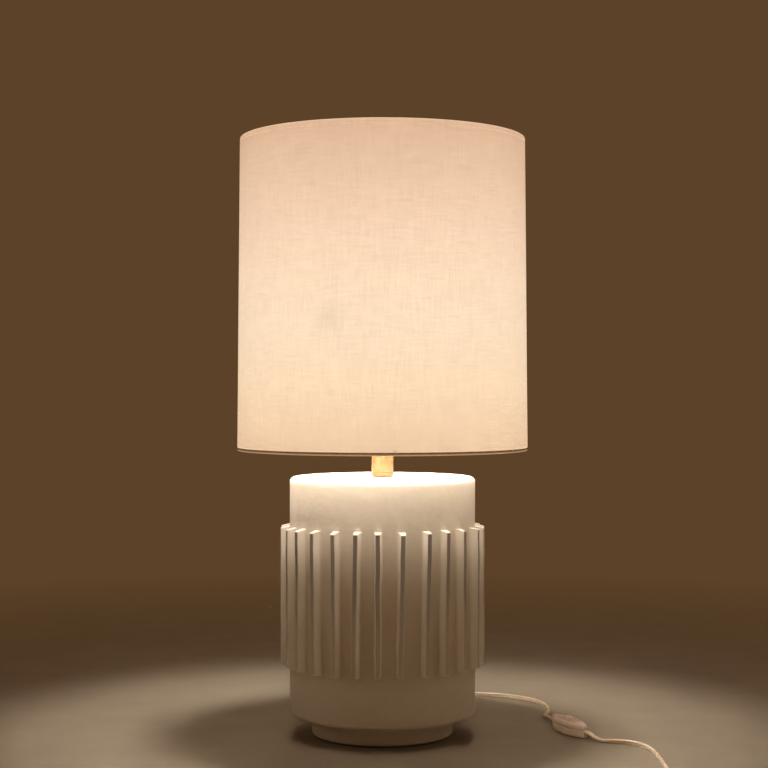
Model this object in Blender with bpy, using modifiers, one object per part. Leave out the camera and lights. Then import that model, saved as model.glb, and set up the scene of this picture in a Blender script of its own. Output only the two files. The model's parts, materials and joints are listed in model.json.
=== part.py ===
"""Table lamp: finned ceramic base, brass neck, harp, socket and bulb, linen drum shade, cord.

Metres, +Z up. The origin is the middle of the felt under the foot, on the surface that the
lamp stands on. The front of the lamp faces -Y, and the cord leaves the foot at +Y.
Everything on the lamp's axis is stacked from the table up, so each height below is worked
out from the piece under it.
"""

import math
import random

import bmesh
import bpy
from mathutils import Matrix, Vector

# ---------------------------------------------------------------------------
# Driving dimensions
# ---------------------------------------------------------------------------
GAP = 0.0003                    # left between pieces that touch
AXIS_STEPS = 24                 # sides of the small turned pieces

# Foot and ceramic body
FELT_RADIUS = 0.0735
FELT_THICKNESS = 0.0015
FOOT_RADIUS = 0.0748            # at the top of the foot ring
FOOT_BASE_RADIUS = 0.0740       # where it meets the felt
FOOT_HEIGHT = 0.0215            # table to the body's underside
FOOT_RECESS_RADIUS = 0.0640
CORD_HOLE_RADIUS = 0.0052       # in the back of the foot ring
RECESS_CEILING = 0.0320
BODY_RADIUS = 0.0975
BODY_TOP = 0.2703
BODY_WALL = 0.0062
BODY_DECK = 0.0070              # thickness of the ceramic's top
SHELF_WALL = 0.0072             # around the foot's recess
TOP_ROUNDING = 0.0050
UNDER_ROUNDING = 0.0055
BODY_STEPS = 54                 # two sides to each fin

# Fins: hand-set ribs around the body
FIN_COUNT = 27
FIN_PITCH = 360.0 / FIN_COUNT
FIN_RADIUS = 0.1076
FIN_THICKNESS = 0.0060
FIN_EDGE = 0.0014               # chamfer on the outer corners
FIN_TOP_ROOT = 0.2213           # the top slopes down to the outer corner
FIN_TOP_TIP = 0.2176
FIN_BOTTOM_ROOT = 0.0738
FIN_BOTTOM_TIP = 0.0752
FIN_EMBED = 0.0030
FRONT_FIN_DEG = -1.4            # the front fin stands a little left of centre
# How far each fin of the front half is off its even place, and how far its foot leans
# sideways, from the fin 80 degrees left of the front to the one 80 degrees right.
FRONT_NUDGES_DEG = (-1.3, 1.3, -0.2, -0.5, -0.1, 0.2, -1.1, -0.4, 1.2, 0.1, -0.4, 2.7, 1.2)
FRONT_LEANS_MM = (0.0, 0.3, 1.0, 2.6, 1.4, -1.8, 0.0, -3.2, -3.0, -2.3, 0.2, -1.0, 0.0)
BACK_NUDGE_DEG = 1.1
BACK_LEAN_MM = 2.0
FIN_SEED = 7

# Threaded pipe that clamps the lamp together, and its lower hardware
PIPE_RADIUS = 0.0049
PIPE_BORE = 0.0033
PIPE_BOTTOM = 0.0230
PIPE_TOP = 0.3288
PIPE_HOLE = 0.0054              # clearance hole for the pipe in every piece it passes
BOARD_RADIUS = 0.0625
BOARD_THICKNESS = 0.0020
WASHER_RADIUS = 0.0180
WASHER_THICKNESS = 0.0015
NUT_ACROSS_FLATS = 0.0160
NUT_HEIGHT = 0.0038

# Brass neck
NECK_RING_RADIUS = 0.0118
NECK_RING_HEIGHT = 0.0046
NECK_RADIUS = 0.01145
NECK_WALL = 0.0011
NECK_HEIGHT = 0.0402
CHECK_RING_RADIUS = 0.0135
CHECK_RING_THICKNESS = 0.0020

# Harp and its saddle
SADDLE_THICKNESS = 0.0015
SADDLE_WIDTH = 0.0120
HARP_FOOT_X = 0.0270            # half the distance between the harp's feet
PRONG_RADIUS = 0.0017
PRONG_HEIGHT = 0.0140
HARP_WIRE = 0.0018              # radius
SLEEVE_BORE = 0.0022
SLEEVE_RADIUS = 0.0034
SLEEVE_LENGTH = 0.0140
SLEEVE_LIP = 0.0005             # the sleeve is a little wider at its foot
SLEEVE_LIFT = 0.0022            # saddle to the sleeve, when it is down
HARP_TOP = 0.5968               # top of the wire, under the crown
CROWN_RADIUS = 0.0068
CROWN_HEIGHT = 0.0042
STUD_RADIUS = 0.0030
STUD_HEIGHT = 0.0140

# Socket and bulb
CAP_RADIUS = 0.0168
CAP_HEIGHT = 0.0140
SHELL_RADIUS = 0.0171
SHELL_HEIGHT = 0.0400
SOCKET_SKIN = 0.0007
LINER_THICKNESS = 0.0009
BLOCK_HEIGHT = 0.0095
SCREW_SHELL_RADIUS = 0.0147
SCREW_SHELL_BORE = 0.0139
CONTACT_RADIUS = 0.0045
CONTACT_THICKNESS = 0.0012
BULB_TIP_RADIUS = 0.0042
BULB_TIP_HEIGHT = 0.0014
BULB_BASE_RADIUS = 0.0132
BULB_BASE_HEIGHT = 0.0240
BULB_RADIUS = 0.0300
BULB_HEIGHT = 0.1100            # tip contact to the top of the glass
GLASS_WALL = 0.0010

# Shade
SHADE_BOTTOM = 0.2972
SHADE_TOP = 0.6254
SHADE_BOTTOM_RADIUS = 0.1517
SHADE_TOP_RADIUS = 0.1497
FABRIC_THICKNESS = 0.0006
LINER_SKIN = 0.0008
HEM_HEIGHT = 0.0052
HEM_DEPTH = 0.0066              # from the fabric's face to the inside of the rolled hem
HEM_FLOOR = 0.0016              # thickness of the folds under the wire
RING_WIRE = 0.0016              # radius of the shade's two wire rings
RING_INSET = 0.0038             # fabric's face to the middle of the wire
RING_RISE = 0.0035              # shade's edge to the middle of the wire
SLIT_SIZE = (0.0060, 0.0048, 0.0116)    # cut in the top hem for each arm of the spider
SLIT_DEPTH = 0.0070             # shade's top to the middle of the slit
SHADE_STEPS = 48
SPIDER_WIRE = 0.0014
SPIDER_ARMS_DEG = (90.0, 210.0, 330.0)
HUB_RADIUS = 0.0125
HUB_HOLE = 0.0052
HUB_THICKNESS = 0.0022
HUB_WASHER_RADIUS = 0.0095
HUB_WASHER_THICKNESS = 0.0012

# Finial
FINIAL_BORE = 0.0034
INSERT_RADIUS = 0.0047
INSERT_HEIGHT = 0.0110
FINIAL_HEIGHT = 0.0280

# Cord, inline switch and plug
CORD_RADIUS = 0.0025
CORD_BORE = 0.0028
CORD_STEP = 0.0120
EXIT_HEIGHT = 0.0110
INNER_LEAD_END = 0.0560          # where the lead inside the lamp meets the strain relief
GROMMET_START = 0.0578
GROMMET_SHANK = 0.0048
GROMMET_FLANGE = 0.0072
GROMMET_FLANGE_AT = 0.0755       # just clear of the back of the foot ring
GROMMET_END = 0.1010            # distance from the lamp's axis to the tip of the strain relief
SWITCH_PLACE = (0.1970, 0.0046)
SWITCH_HEADING_DEG = -67.7      # its length runs towards the front and right
SWITCH_LENGTH = 0.0780
SWITCH_WIDTH = 0.0220
SWITCH_NOSE = 0.0040            # half width of each end
SWITCH_HEIGHT = 0.0150
SWITCH_WALL = 0.0016
SWITCH_JOIN = 0.0074            # height of the seam between its two shells
ROCKER_LENGTH = 0.0200
ROCKER_WIDTH = 0.0090
ROCKER_PLAY = 0.0010            # slot to rocker, both sides together
ROCKER_TILT_DEG = 7.0           # pressed down at its front end: on
ROCKER_AXIS_HEIGHT = 0.0118
COIL_PLACE = (0.2385, -0.2780)
COIL_RADIUS = 0.0280            # to the middle of the bundle
BUNDLE_RADIUS = 0.0075
BUNDLE_HEIGHT = 0.0092          # height of the bundle's middle
TIE_PLAY = 0.0004               # coil to tie
TIE_THICKNESS = 0.0009
TIE_WIDTH = 0.0080
PLUG_BACK = 0.1900              # x of the plug's cord end; its blades point to -X
PLUG_LENGTH = 0.0300
PLUG_WIDTH = 0.0240
PLUG_THICKNESS = 0.0130
BLADE_LENGTH = 0.0170
BLADE_WIDTH = 0.00635
BLADE_THICKNESS = 0.0015
BLADE_SPACING = 0.0127

# The cord's way along the table, from the strain relief behind the foot to the switch, and
# from the switch to the coil. Both ends of each run point straight out of what holds them.
CORD_TO_SWITCH = (
    (0.0000, 0.1014, 0.0110),
    (0.0002, 0.1150, 0.0103),
    (0.0035, 0.1380, 0.0060),
    (0.0150, 0.1650, 0.0031),
    (0.0390, 0.1890, 0.0028),
    (0.0730, 0.2035, 0.0028),
    (0.1100, 0.2045, 0.0028),
    (0.1450, 0.1930, 0.0028),
    (0.1720, 0.1690, 0.0028),
    (0.1850, 0.1360, 0.0028),
    (0.1855, 0.1030, 0.0030),
    (0.1800, 0.0780, 0.0045),
    (0.1774, 0.0590, 0.0066),
    (0.1820, 0.0411, 0.0074),
)
CORD_TO_COIL = (
    (0.2120, -0.0318, 0.0074),
    (0.2182, -0.0430, 0.0058),
    (0.2285, -0.0500, 0.0036),
    (0.2400, -0.0535, 0.0028),
    (0.2520, -0.0590, 0.0028),
    (0.2625, -0.0710, 0.0028),
    (0.2690, -0.0920, 0.0028),
    (0.2712, -0.1250, 0.0028),
    (0.2708, -0.1650, 0.0029),
    (0.2700, -0.2050, 0.0045),
    (0.2700, -0.2350, 0.0080),
    (0.2700, -0.2570, 0.0092),
)

# Looks: base colour, roughness, metallic
LOOKS = {
    "ceramic": ((0.86, 0.84, 0.80), 0.55, 0.0),
    "felt": ((0.10, 0.10, 0.10), 0.95, 0.0),
    "board": ((0.45, 0.33, 0.22), 0.85, 0.0),
    "brass": ((0.78, 0.58, 0.28), 0.30, 1.0),
    "steel": ((0.62, 0.62, 0.62), 0.35, 1.0),
    "aluminium": ((0.80, 0.80, 0.80), 0.30, 1.0),
    "phenolic": ((0.05, 0.05, 0.05), 0.50, 0.0),
    "card": ((0.35, 0.30, 0.24), 0.90, 0.0),
    "frosted_glass": ((0.95, 0.94, 0.90), 0.40, 0.0),
    "linen": ((0.86, 0.80, 0.70), 0.90, 0.0),
    "styrene": ((0.92, 0.90, 0.86), 0.50, 0.0),
    "clear_pvc": ((0.82, 0.79, 0.72), 0.25, 0.0),
    "tie": ((0.90, 0.90, 0.90), 0.45, 0.0),
}

# ---------------------------------------------------------------------------
# Scene and modelling helpers
# ---------------------------------------------------------------------------
for leftover in list(bpy.data.objects):
    bpy.data.objects.remove(leftover, do_unlink=True)

PARTS = bpy.data.collections.new("table_lamp")
CUTTERS = bpy.data.collections.new("cutters")
for group in (PARTS, CUTTERS):
    bpy.context.scene.collection.children.link(group)


def look(name):
    """The material of that name, made on first use."""
    if name in bpy.data.materials:
        return bpy.data.materials[name]
    colour, roughness, metallic = LOOKS[name]
    material = bpy.data.materials.new(name)
    material.use_nodes = True
    shader = material.node_tree.nodes["Principled BSDF"]
    shader.inputs["Base Color"].default_value = (*colour, 1.0)
    shader.inputs["Roughness"].default_value = roughness
    shader.inputs["Metallic"].default_value = metallic
    return material


def new_object(name, data, finish=None):
    """Link a part, or a cutter when it has no finish."""
    thing = bpy.data.objects.new(name, data)
    if finish is None:
        CUTTERS.objects.link(thing)
        thing.hide_render = True
        thing.display_type = "WIRE"
    else:
        PARTS.objects.link(thing)
        data.materials.append(look(finish))
    return thing


def settle(thing, sharp_deg=35.0):
    """Turn a part's modifiers or curve into its mesh, shaded smooth but for its sharp edges."""
    bpy.context.view_layer.update()
    evaluated = thing.evaluated_get(bpy.context.evaluated_depsgraph_get())
    mesh = bpy.data.meshes.new_from_object(evaluated)
    body = bmesh.new()
    body.from_mesh(mesh)
    bmesh.ops.remove_doubles(body, verts=body.verts, dist=0.000005)
    bmesh.ops.dissolve_degenerate(body, edges=body.edges, dist=0.000002)
    body.to_mesh(mesh)
    body.free()
    mesh.shade_smooth()
    mesh.set_sharp_from_angle(angle=math.radians(sharp_deg))
    if thing.type == "MESH":
        thing.modifiers.clear()
        thing.data = mesh
        return thing
    solid = bpy.data.objects.new(thing.name, mesh)
    solid.parent = thing.parent
    solid.matrix_world = thing.matrix_world
    for home in thing.users_collection:
        home.objects.link(solid)
    hidden, shown = thing.hide_render, thing.display_type
    name = thing.name
    bpy.data.objects.remove(thing, do_unlink=True)
    solid.name = name
    solid.hide_render = hidden
    solid.display_type = shown
    return solid


def combine(thing, other, operation="DIFFERENCE"):
    """Cut another solid out of a part, or join it on."""
    boolean = thing.modifiers.new(operation.lower(), "BOOLEAN")
    boolean.operation = operation
    boolean.solver = "EXACT"
    boolean.object = other


def arc(centre_r, centre_z, radius, start_deg, end_deg, count):
    """Points on an arc of an outline; 0 degrees points outwards and 90 up."""
    points = []
    for index in range(count + 1):
        angle = math.radians(start_deg + (end_deg - start_deg) * index / count)
        points.append((centre_r + radius * math.cos(angle), centre_z + radius * math.sin(angle)))
    return points


def turned(name, outline, finish=None, steps=AXIS_STEPS):
    """Turn (radius, height) points about Z.

    An outline that starts and ends on the axis makes a solid; any other closes on itself and
    makes a ring. It runs down its outer side.
    """
    mesh = bpy.data.meshes.new(name)
    count = len(outline)
    on_axis = outline[0][0] == 0.0 and outline[-1][0] == 0.0
    edges = [(index, index + 1) for index in range(count - 1)]
    if not on_axis:
        edges.append((count - 1, 0))
    mesh.from_pydata([(radius, 0.0, height) for radius, height in outline], edges, [])
    thing = new_object(name, mesh, finish)
    screw = thing.modifiers.new("turn", "SCREW")
    screw.axis = "Z"
    screw.angle = 2.0 * math.pi
    screw.steps = steps
    screw.render_steps = steps
    screw.use_merge_vertices = True
    screw.merge_threshold = 0.00001
    return thing


def pipe_piece(name, outer, inner, bottom, top, finish, steps=AXIS_STEPS):
    """A plain tube or washer about Z."""
    return turned(name, [(outer, top), (outer, bottom), (inner, bottom), (inner, top)], finish, steps)


def turned_disc(name, radius, bottom, top, finish, steps=AXIS_STEPS):
    """A plain solid disc about Z."""
    return turned(name, [(0.0, top), (radius, top), (radius, bottom), (0.0, bottom)], finish, steps)


def cylinder(name, radius, depth, centre, finish=None, along="Z", sides=32):
    """A round bar along one axis, from a cone with equal ends."""
    mesh = bpy.data.meshes.new(name)
    body = bmesh.new()
    bmesh.ops.create_cone(body, cap_ends=True, segments=sides, radius1=radius, radius2=radius, depth=depth)
    turns = {"X": Matrix.Rotation(math.pi / 2, 4, "Y"), "Y": Matrix.Rotation(math.pi / 2, 4, "X")}
    if along in turns:
        body.transform(turns[along])
    body.to_mesh(mesh)
    body.free()
    thing = new_object(name, mesh, finish)
    thing.location = centre
    return thing


def block(name, size, centre, finish=None, rotation_deg=0.0):
    """A box, turned about Z."""
    mesh = bpy.data.meshes.new(name)
    body = bmesh.new()
    bmesh.ops.create_cube(body, size=1.0)
    bmesh.ops.scale(body, vec=size, verts=body.verts)
    body.to_mesh(mesh)
    body.free()
    thing = new_object(name, mesh, finish)
    thing.location = centre
    thing.rotation_euler.z = math.radians(rotation_deg)
    return thing


def plate(name, outline, thickness, finish=None, holes=()):
    """A flat outline with holes, centred on z = 0."""
    curve = bpy.data.curves.new(name, "CURVE")
    curve.dimensions = "2D"
    curve.fill_mode = "BOTH"
    curve.extrude = thickness / 2
    for loop in (outline, *holes):
        spline = curve.splines.new("POLY")
        spline.points.add(len(loop) - 1)
        for point, (x, y) in zip(spline.points, loop):
            point.co = (x, y, 0.0, 1.0)
        spline.use_cyclic_u = True
    return new_object(name, curve, finish)


def circle(radius, count=24, centre=(0.0, 0.0)):
    """A ring of (x, y) points."""
    turns = [2.0 * math.pi * index / count for index in range(count)]
    return [(centre[0] + radius * math.cos(t), centre[1] + radius * math.sin(t)) for t in turns]


def tube(name, route, radius, finish, resolution=2):
    """A wire or cord along points, closed at both ends."""
    curve = bpy.data.curves.new(name, "CURVE")
    curve.dimensions = "3D"
    curve.bevel_depth = radius
    curve.bevel_resolution = resolution
    curve.use_fill_caps = True
    spline = curve.splines.new("POLY")
    spline.points.add(len(route) - 1)
    for point, place in zip(spline.points, route):
        point.co = (*place, 1.0)
    return new_object(name, curve, finish)


def smooth_route(knots, step):
    """Points about a step apart on a smooth curve through the knots."""
    knots = [Vector(knot) for knot in knots]
    padded = [2 * knots[0] - knots[1], *knots, 2 * knots[-1] - knots[-2]]
    dense = []
    for before, start, end, after in zip(padded, padded[1:], padded[2:], padded[3:]):
        for index in range(24):
            t = index / 24
            bend = 2 * before - 5 * start + 4 * end - after
            twist = 3 * start - before - 3 * end + after
            dense.append(start + 0.5 * t * ((end - before) + t * (bend + t * twist)))
    dense.append(knots[-1])
    total = sum((b - a).length for a, b in zip(dense, dense[1:]))
    pieces = max(2, round(total / step))
    route, travelled, target = [dense[0]], 0.0, total / pieces
    for a, b in zip(dense, dense[1:]):
        length = (b - a).length
        while travelled + length >= target - 1e-9 and len(route) < pieces:
            route.append(a.lerp(b, (target - travelled) / length))
            target += total / pieces
        travelled += length
    route.append(dense[-1])
    return route


def empty(name, location, heading_deg=0.0):
    """A frame that pieces are placed in."""
    anchor = bpy.data.objects.new(name, None)
    PARTS.objects.link(anchor)
    anchor.location = location
    anchor.rotation_euler.z = math.radians(heading_deg)
    return anchor


# ---------------------------------------------------------------------------
# Heights up the axis, each from the piece below
# ---------------------------------------------------------------------------
CERAMIC_BOTTOM = FELT_THICKNESS + GAP
NECK_RING_BOTTOM = BODY_TOP + GAP
NECK_RING_TOP = NECK_RING_BOTTOM + NECK_RING_HEIGHT
NECK_BOTTOM = NECK_RING_TOP + GAP
NECK_TOP = NECK_BOTTOM + NECK_HEIGHT
CHECK_RING_BOTTOM = NECK_TOP + GAP
CHECK_RING_TOP = CHECK_RING_BOTTOM + CHECK_RING_THICKNESS
SADDLE_BOTTOM = CHECK_RING_TOP + GAP
SADDLE_TOP = SADDLE_BOTTOM + SADDLE_THICKNESS
SADDLE_NUT_BOTTOM = SADDLE_TOP + GAP
SADDLE_NUT_TOP = SADDLE_NUT_BOTTOM + NUT_HEIGHT
CAP_BOTTOM = SADDLE_NUT_TOP + GAP
CAP_TOP = CAP_BOTTOM + CAP_HEIGHT
SHELL_BOTTOM = CAP_TOP + GAP
SHELL_TOP = SHELL_BOTTOM + SHELL_HEIGHT
BLOCK_BOTTOM = CAP_TOP + GAP
BLOCK_TOP = BLOCK_BOTTOM + BLOCK_HEIGHT
CONTACT_BOTTOM = BLOCK_TOP + GAP
CONTACT_TOP = CONTACT_BOTTOM + CONTACT_THICKNESS
TIP_BOTTOM = CONTACT_TOP + GAP
TIP_TOP = TIP_BOTTOM + BULB_TIP_HEIGHT
BULB_BASE_BOTTOM = TIP_TOP + GAP
BULB_BASE_TOP = BULB_BASE_BOTTOM + BULB_BASE_HEIGHT
BULB_TOP = TIP_BOTTOM + BULB_HEIGHT
PRONG_TOP = SADDLE_TOP + PRONG_HEIGHT
SLEEVE_BOTTOM = SADDLE_TOP + SLEEVE_LIFT
CROWN_BOTTOM = HARP_TOP + GAP
CROWN_TOP = CROWN_BOTTOM + CROWN_HEIGHT
STUD_TOP = CROWN_TOP + STUD_HEIGHT
HUB_WASHER_BOTTOM = CROWN_TOP + GAP
HUB_WASHER_TOP = HUB_WASHER_BOTTOM + HUB_WASHER_THICKNESS
HUB_BOTTOM = HUB_WASHER_TOP + GAP
HUB_TOP = HUB_BOTTOM + HUB_THICKNESS
FINIAL_BOTTOM = HUB_TOP + GAP
FINIAL_TOP = FINIAL_BOTTOM + FINIAL_HEIGHT


# ---------------------------------------------------------------------------
# Ceramic base
# ---------------------------------------------------------------------------
def fin_settings():
    """Bearing from the front and sideways lean of the foot, for every fin."""
    rng = random.Random(FIN_SEED)
    half = len(FRONT_NUDGES_DEG) // 2
    settings = []
    for number in range(-half, FIN_COUNT - half):
        if number <= half:
            nudge = FRONT_NUDGES_DEG[number + half]
            lean = FRONT_LEANS_MM[number + half]
        else:
            nudge = rng.uniform(-BACK_NUDGE_DEG, BACK_NUDGE_DEG)
            lean = rng.uniform(-BACK_LEAN_MM, BACK_LEAN_MM)
        settings.append((FRONT_FIN_DEG + number * FIN_PITCH + nudge, lean / 1000.0))
    return settings


def fin_mesh():
    """All the fins, each a tapered slab with its outer corners chamfered."""
    fins = bmesh.new()
    root = BODY_RADIUS - FIN_EMBED
    for bearing_deg, lean in fin_settings():
        fin = bmesh.new()
        bmesh.ops.create_cube(fin, size=2.0)
        for vertex in fin.verts:
            outer, side, upper = vertex.co.x > 0, vertex.co.y, vertex.co.z > 0
            tip = (FIN_TOP_TIP, FIN_BOTTOM_TIP) if outer else (FIN_TOP_ROOT, FIN_BOTTOM_ROOT)
            vertex.co.x = FIN_RADIUS if outer else root
            vertex.co.y = side * FIN_THICKNESS / 2 + (0.0 if upper else lean)
            vertex.co.z = tip[0] if upper else tip[1]
        outer_edges = [edge for edge in fin.edges if all(v.co.x > root + FIN_EMBED for v in edge.verts)]
        bmesh.ops.bevel(
            fin, geom=outer_edges, offset=FIN_EDGE, segments=1, profile=0.5, affect="EDGES",
            clamp_overlap=True,
        )
        fin.transform(Matrix.Rotation(math.radians(bearing_deg - 90.0), 4, "Z"))
        scratch = bpy.data.meshes.new("fin")
        fin.to_mesh(scratch)
        fin.free()
        fins.from_mesh(scratch)
        bpy.data.meshes.remove(scratch)
    mesh = bpy.data.meshes.new("fin_set")
    fins.to_mesh(mesh)
    fins.free()
    return mesh


def make_ceramic():
    """Foot ring, body and fins in one fired piece, hollow, with holes for pipe and cord."""
    outline = [(0.0, BODY_TOP)]
    outline += arc(BODY_RADIUS - TOP_ROUNDING, BODY_TOP - TOP_ROUNDING, TOP_ROUNDING, 90, 0, 4)
    outline += arc(BODY_RADIUS - UNDER_ROUNDING, FOOT_HEIGHT + UNDER_ROUNDING, UNDER_ROUNDING, 0, -90, 4)
    outline += [(FOOT_RADIUS, FOOT_HEIGHT), (FOOT_BASE_RADIUS, CERAMIC_BOTTOM), (0.0, CERAMIC_BOTTOM)]
    body = turned("ceramic_body", outline, "ceramic", BODY_STEPS)
    combine(body, new_object("fin_set", fin_mesh()), "UNION")

    inside = BODY_RADIUS - BODY_WALL
    shelf = FOOT_RECESS_RADIUS + SHELF_WALL
    cavity = turned(
        "cavity_cutter",
        [
            (0.0, BODY_TOP - BODY_DECK),
            (inside, BODY_TOP - BODY_DECK),
            (inside, FOOT_HEIGHT + BODY_WALL),
            (shelf, FOOT_HEIGHT + BODY_WALL),
            (shelf, RECESS_CEILING + BODY_WALL),
            (0.0, RECESS_CEILING + BODY_WALL),
        ],
        steps=36,
    )
    recess_place = (0, 0, RECESS_CEILING - FOOT_RECESS_RADIUS / 2)
    recess = cylinder("recess_cutter", FOOT_RECESS_RADIUS, FOOT_RECESS_RADIUS, recess_place, sides=48)
    bore = cylinder("pipe_hole_cutter", PIPE_HOLE, BODY_TOP, (0, 0, BODY_TOP / 2 + FOOT_HEIGHT), sides=24)
    hole_place = (0, (FOOT_RECESS_RADIUS + FOOT_RADIUS) / 2, EXIT_HEIGHT)
    hole_length = 2 * (FOOT_RADIUS - FOOT_RECESS_RADIUS)
    cord_hole = cylinder("cord_hole_cutter", CORD_HOLE_RADIUS, hole_length, hole_place, along="Y", sides=24)
    for cutter in (cavity, recess, bore, cord_hole):
        combine(body, cutter)
    settle(body)


def make_base_hardware():
    """Felt, cover board, and the washer and nut that pull the pipe down."""
    turned_disc("foot_felt", FELT_RADIUS, 0.0, FELT_THICKNESS, "felt", 48)
    board_bottom = FELT_THICKNESS + GAP
    turned_disc("cover_board", BOARD_RADIUS, board_bottom, board_bottom + BOARD_THICKNESS, "board", 48)
    washer_top = RECESS_CEILING - GAP
    washer_bottom = washer_top - WASHER_THICKNESS
    pipe_piece("floor_washer", WASHER_RADIUS, PIPE_HOLE, washer_bottom, washer_top, "steel")
    make_nut("floor_nut", washer_bottom - GAP - NUT_HEIGHT)
    pipe_piece("lamp_pipe", PIPE_RADIUS, PIPE_BORE, PIPE_BOTTOM, PIPE_TOP, "brass", steps=24)


def make_nut(name, bottom):
    """A hexagon nut around the pipe."""
    corner = NUT_ACROSS_FLATS / math.sqrt(3)
    nut = plate(name, circle(corner, 6), NUT_HEIGHT, "steel", holes=[circle(PIPE_HOLE, 24)])
    nut.location.z = bottom + NUT_HEIGHT / 2
    settle(nut)


# ---------------------------------------------------------------------------
# Neck, harp and socket
# ---------------------------------------------------------------------------
def make_neck():
    """Rounded seat ring, brushed tube and the ring that closes it."""
    rounding = NECK_RING_HEIGHT / 2
    chamfer = 0.0004
    outline = [(PIPE_HOLE, NECK_RING_TOP), (NECK_RING_RADIUS - chamfer, NECK_RING_TOP)]
    outline += [(NECK_RING_RADIUS, NECK_RING_TOP - chamfer)]
    outline += arc(NECK_RING_RADIUS - rounding, NECK_RING_BOTTOM + rounding, rounding, 0, -90, 3)
    outline += [(PIPE_HOLE, NECK_RING_BOTTOM)]
    turned("neck_ring", outline, "brass")
    pipe_piece("neck_tube", NECK_RADIUS, NECK_RADIUS - NECK_WALL, NECK_BOTTOM, NECK_TOP, "brass")
    pipe_piece("check_ring", CHECK_RING_RADIUS, PIPE_HOLE, CHECK_RING_BOTTOM, CHECK_RING_TOP, "brass")


def make_saddle():
    """Strap under the socket with an upturned prong for each foot of the harp."""
    half = HARP_FOOT_X + 1.6 * PRONG_RADIUS
    strap_outline = [(-half, -SADDLE_WIDTH / 2), (half, -SADDLE_WIDTH / 2)]
    strap_outline += [(half, SADDLE_WIDTH / 2), (-half, SADDLE_WIDTH / 2)]
    strap = plate("harp_saddle", strap_outline, SADDLE_THICKNESS, "steel", holes=[circle(PIPE_HOLE, 24)])
    strap.location.z = (SADDLE_BOTTOM + SADDLE_TOP) / 2
    strap = settle(strap)
    depth = PRONG_TOP - SADDLE_BOTTOM - SADDLE_THICKNESS / 2
    for side in (-1, 1):
        place = (side * HARP_FOOT_X, 0, PRONG_TOP - depth / 2)
        combine(strap, cylinder("prong", PRONG_RADIUS, depth, place, sides=12), "UNION")
    settle(strap)
    make_nut("saddle_nut", SADDLE_NUT_BOTTOM)


def make_harp():
    """Wire loop around the bulb, its two sliding sleeves, and the crown with its stud."""
    foot = PRONG_TOP + GAP
    wire_top = HARP_TOP - HARP_WIRE
    right = (
        (HARP_FOOT_X, 0, foot),
        (HARP_FOOT_X, 0, foot + 0.0130),
        (HARP_FOOT_X, 0, foot + 0.0240),
        (0.0330, 0, foot + 0.0420),
        (0.0460, 0, foot + 0.0700),
        (0.0550, 0, foot + 0.1050),
        (0.0565, 0, foot + 0.1400),
        (0.0520, 0, wire_top - 0.0800),
        (0.0420, 0, wire_top - 0.0450),
        (0.0270, 0, wire_top - 0.0180),
        (0.0120, 0, wire_top - 0.0040),
        (0.0, 0, wire_top),
    )
    left = [(-x, y, z) for x, y, z in reversed(right[:-1])]
    settle(tube("harp", smooth_route([*right, *left], 0.0145), HARP_WIRE, "brass"))
    for side, name in ((-1, "harp_sleeve_left"), (1, "harp_sleeve_right")):
        outline = [(SLEEVE_RADIUS, SLEEVE_LENGTH), (SLEEVE_RADIUS + SLEEVE_LIP, 0.0020)]
        outline += [(SLEEVE_RADIUS + SLEEVE_LIP, 0.0), (SLEEVE_BORE, 0.0), (SLEEVE_BORE, SLEEVE_LENGTH)]
        sleeve = turned(name, outline, "brass", steps=20)
        sleeve.location = (side * HARP_FOOT_X, 0, SLEEVE_BOTTOM)
    crown = [(0.0, STUD_TOP), (STUD_RADIUS - 0.0005, STUD_TOP), (STUD_RADIUS, STUD_TOP - 0.0005)]
    crown += [(STUD_RADIUS, CROWN_TOP), (CROWN_RADIUS, CROWN_TOP)]
    crown += [(CROWN_RADIUS, CROWN_BOTTOM + 0.0012), (CROWN_RADIUS - 0.0015, CROWN_BOTTOM)]
    crown += [(0.0, CROWN_BOTTOM)]
    turned("harp_crown", crown, "brass")


def make_socket():
    """Domed cap, outer shell with its card liner, and the works that grip the bulb."""
    neck = PIPE_HOLE + 0.0022
    inner = CAP_RADIUS - SOCKET_SKIN
    cap = [(CAP_RADIUS, CAP_TOP), (CAP_RADIUS, CAP_TOP - 0.0040)]
    cap += arc(CAP_RADIUS - 0.0070, CAP_TOP - 0.0040, 0.0070, -30, -90, 3)
    cap += [(neck, CAP_BOTTOM + 0.0025), (neck, CAP_BOTTOM), (PIPE_HOLE, CAP_BOTTOM)]
    cap += [(PIPE_HOLE, CAP_BOTTOM + 0.0040), (CAP_RADIUS - 0.0070, CAP_TOP - 0.0102)]
    cap += [(inner - 0.0014, CAP_TOP - 0.0070), (inner, CAP_TOP - 0.0036), (inner, CAP_TOP)]
    turned("socket_cap", cap, "brass")

    skin = SHELL_RADIUS - SOCKET_SKIN
    bead = SHELL_TOP - 0.0060
    shell = [(SHELL_RADIUS, SHELL_TOP), (SHELL_RADIUS, bead), (SHELL_RADIUS + 0.0007, bead - 0.0010)]
    shell += [(SHELL_RADIUS, bead - 0.0020), (SHELL_RADIUS, SHELL_BOTTOM)]
    shell += [(skin, SHELL_BOTTOM), (skin, SHELL_TOP)]
    turned("socket_shell", shell, "brass")
    liner = skin - GAP
    pipe_piece("socket_liner", liner, liner - LINER_THICKNESS, SHELL_BOTTOM + 0.0010, SHELL_TOP, "card")
    turned_disc("socket_block", liner - LINER_THICKNESS - 2 * GAP, BLOCK_BOTTOM, BLOCK_TOP, "phenolic")
    pipe_piece(
        "screw_shell", SCREW_SHELL_RADIUS, SCREW_SHELL_BORE, BLOCK_TOP + GAP, SHELL_TOP - 0.0020, "aluminium"
    )
    turned_disc("centre_contact", CONTACT_RADIUS, CONTACT_BOTTOM, CONTACT_TOP, "brass", 16)


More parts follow.
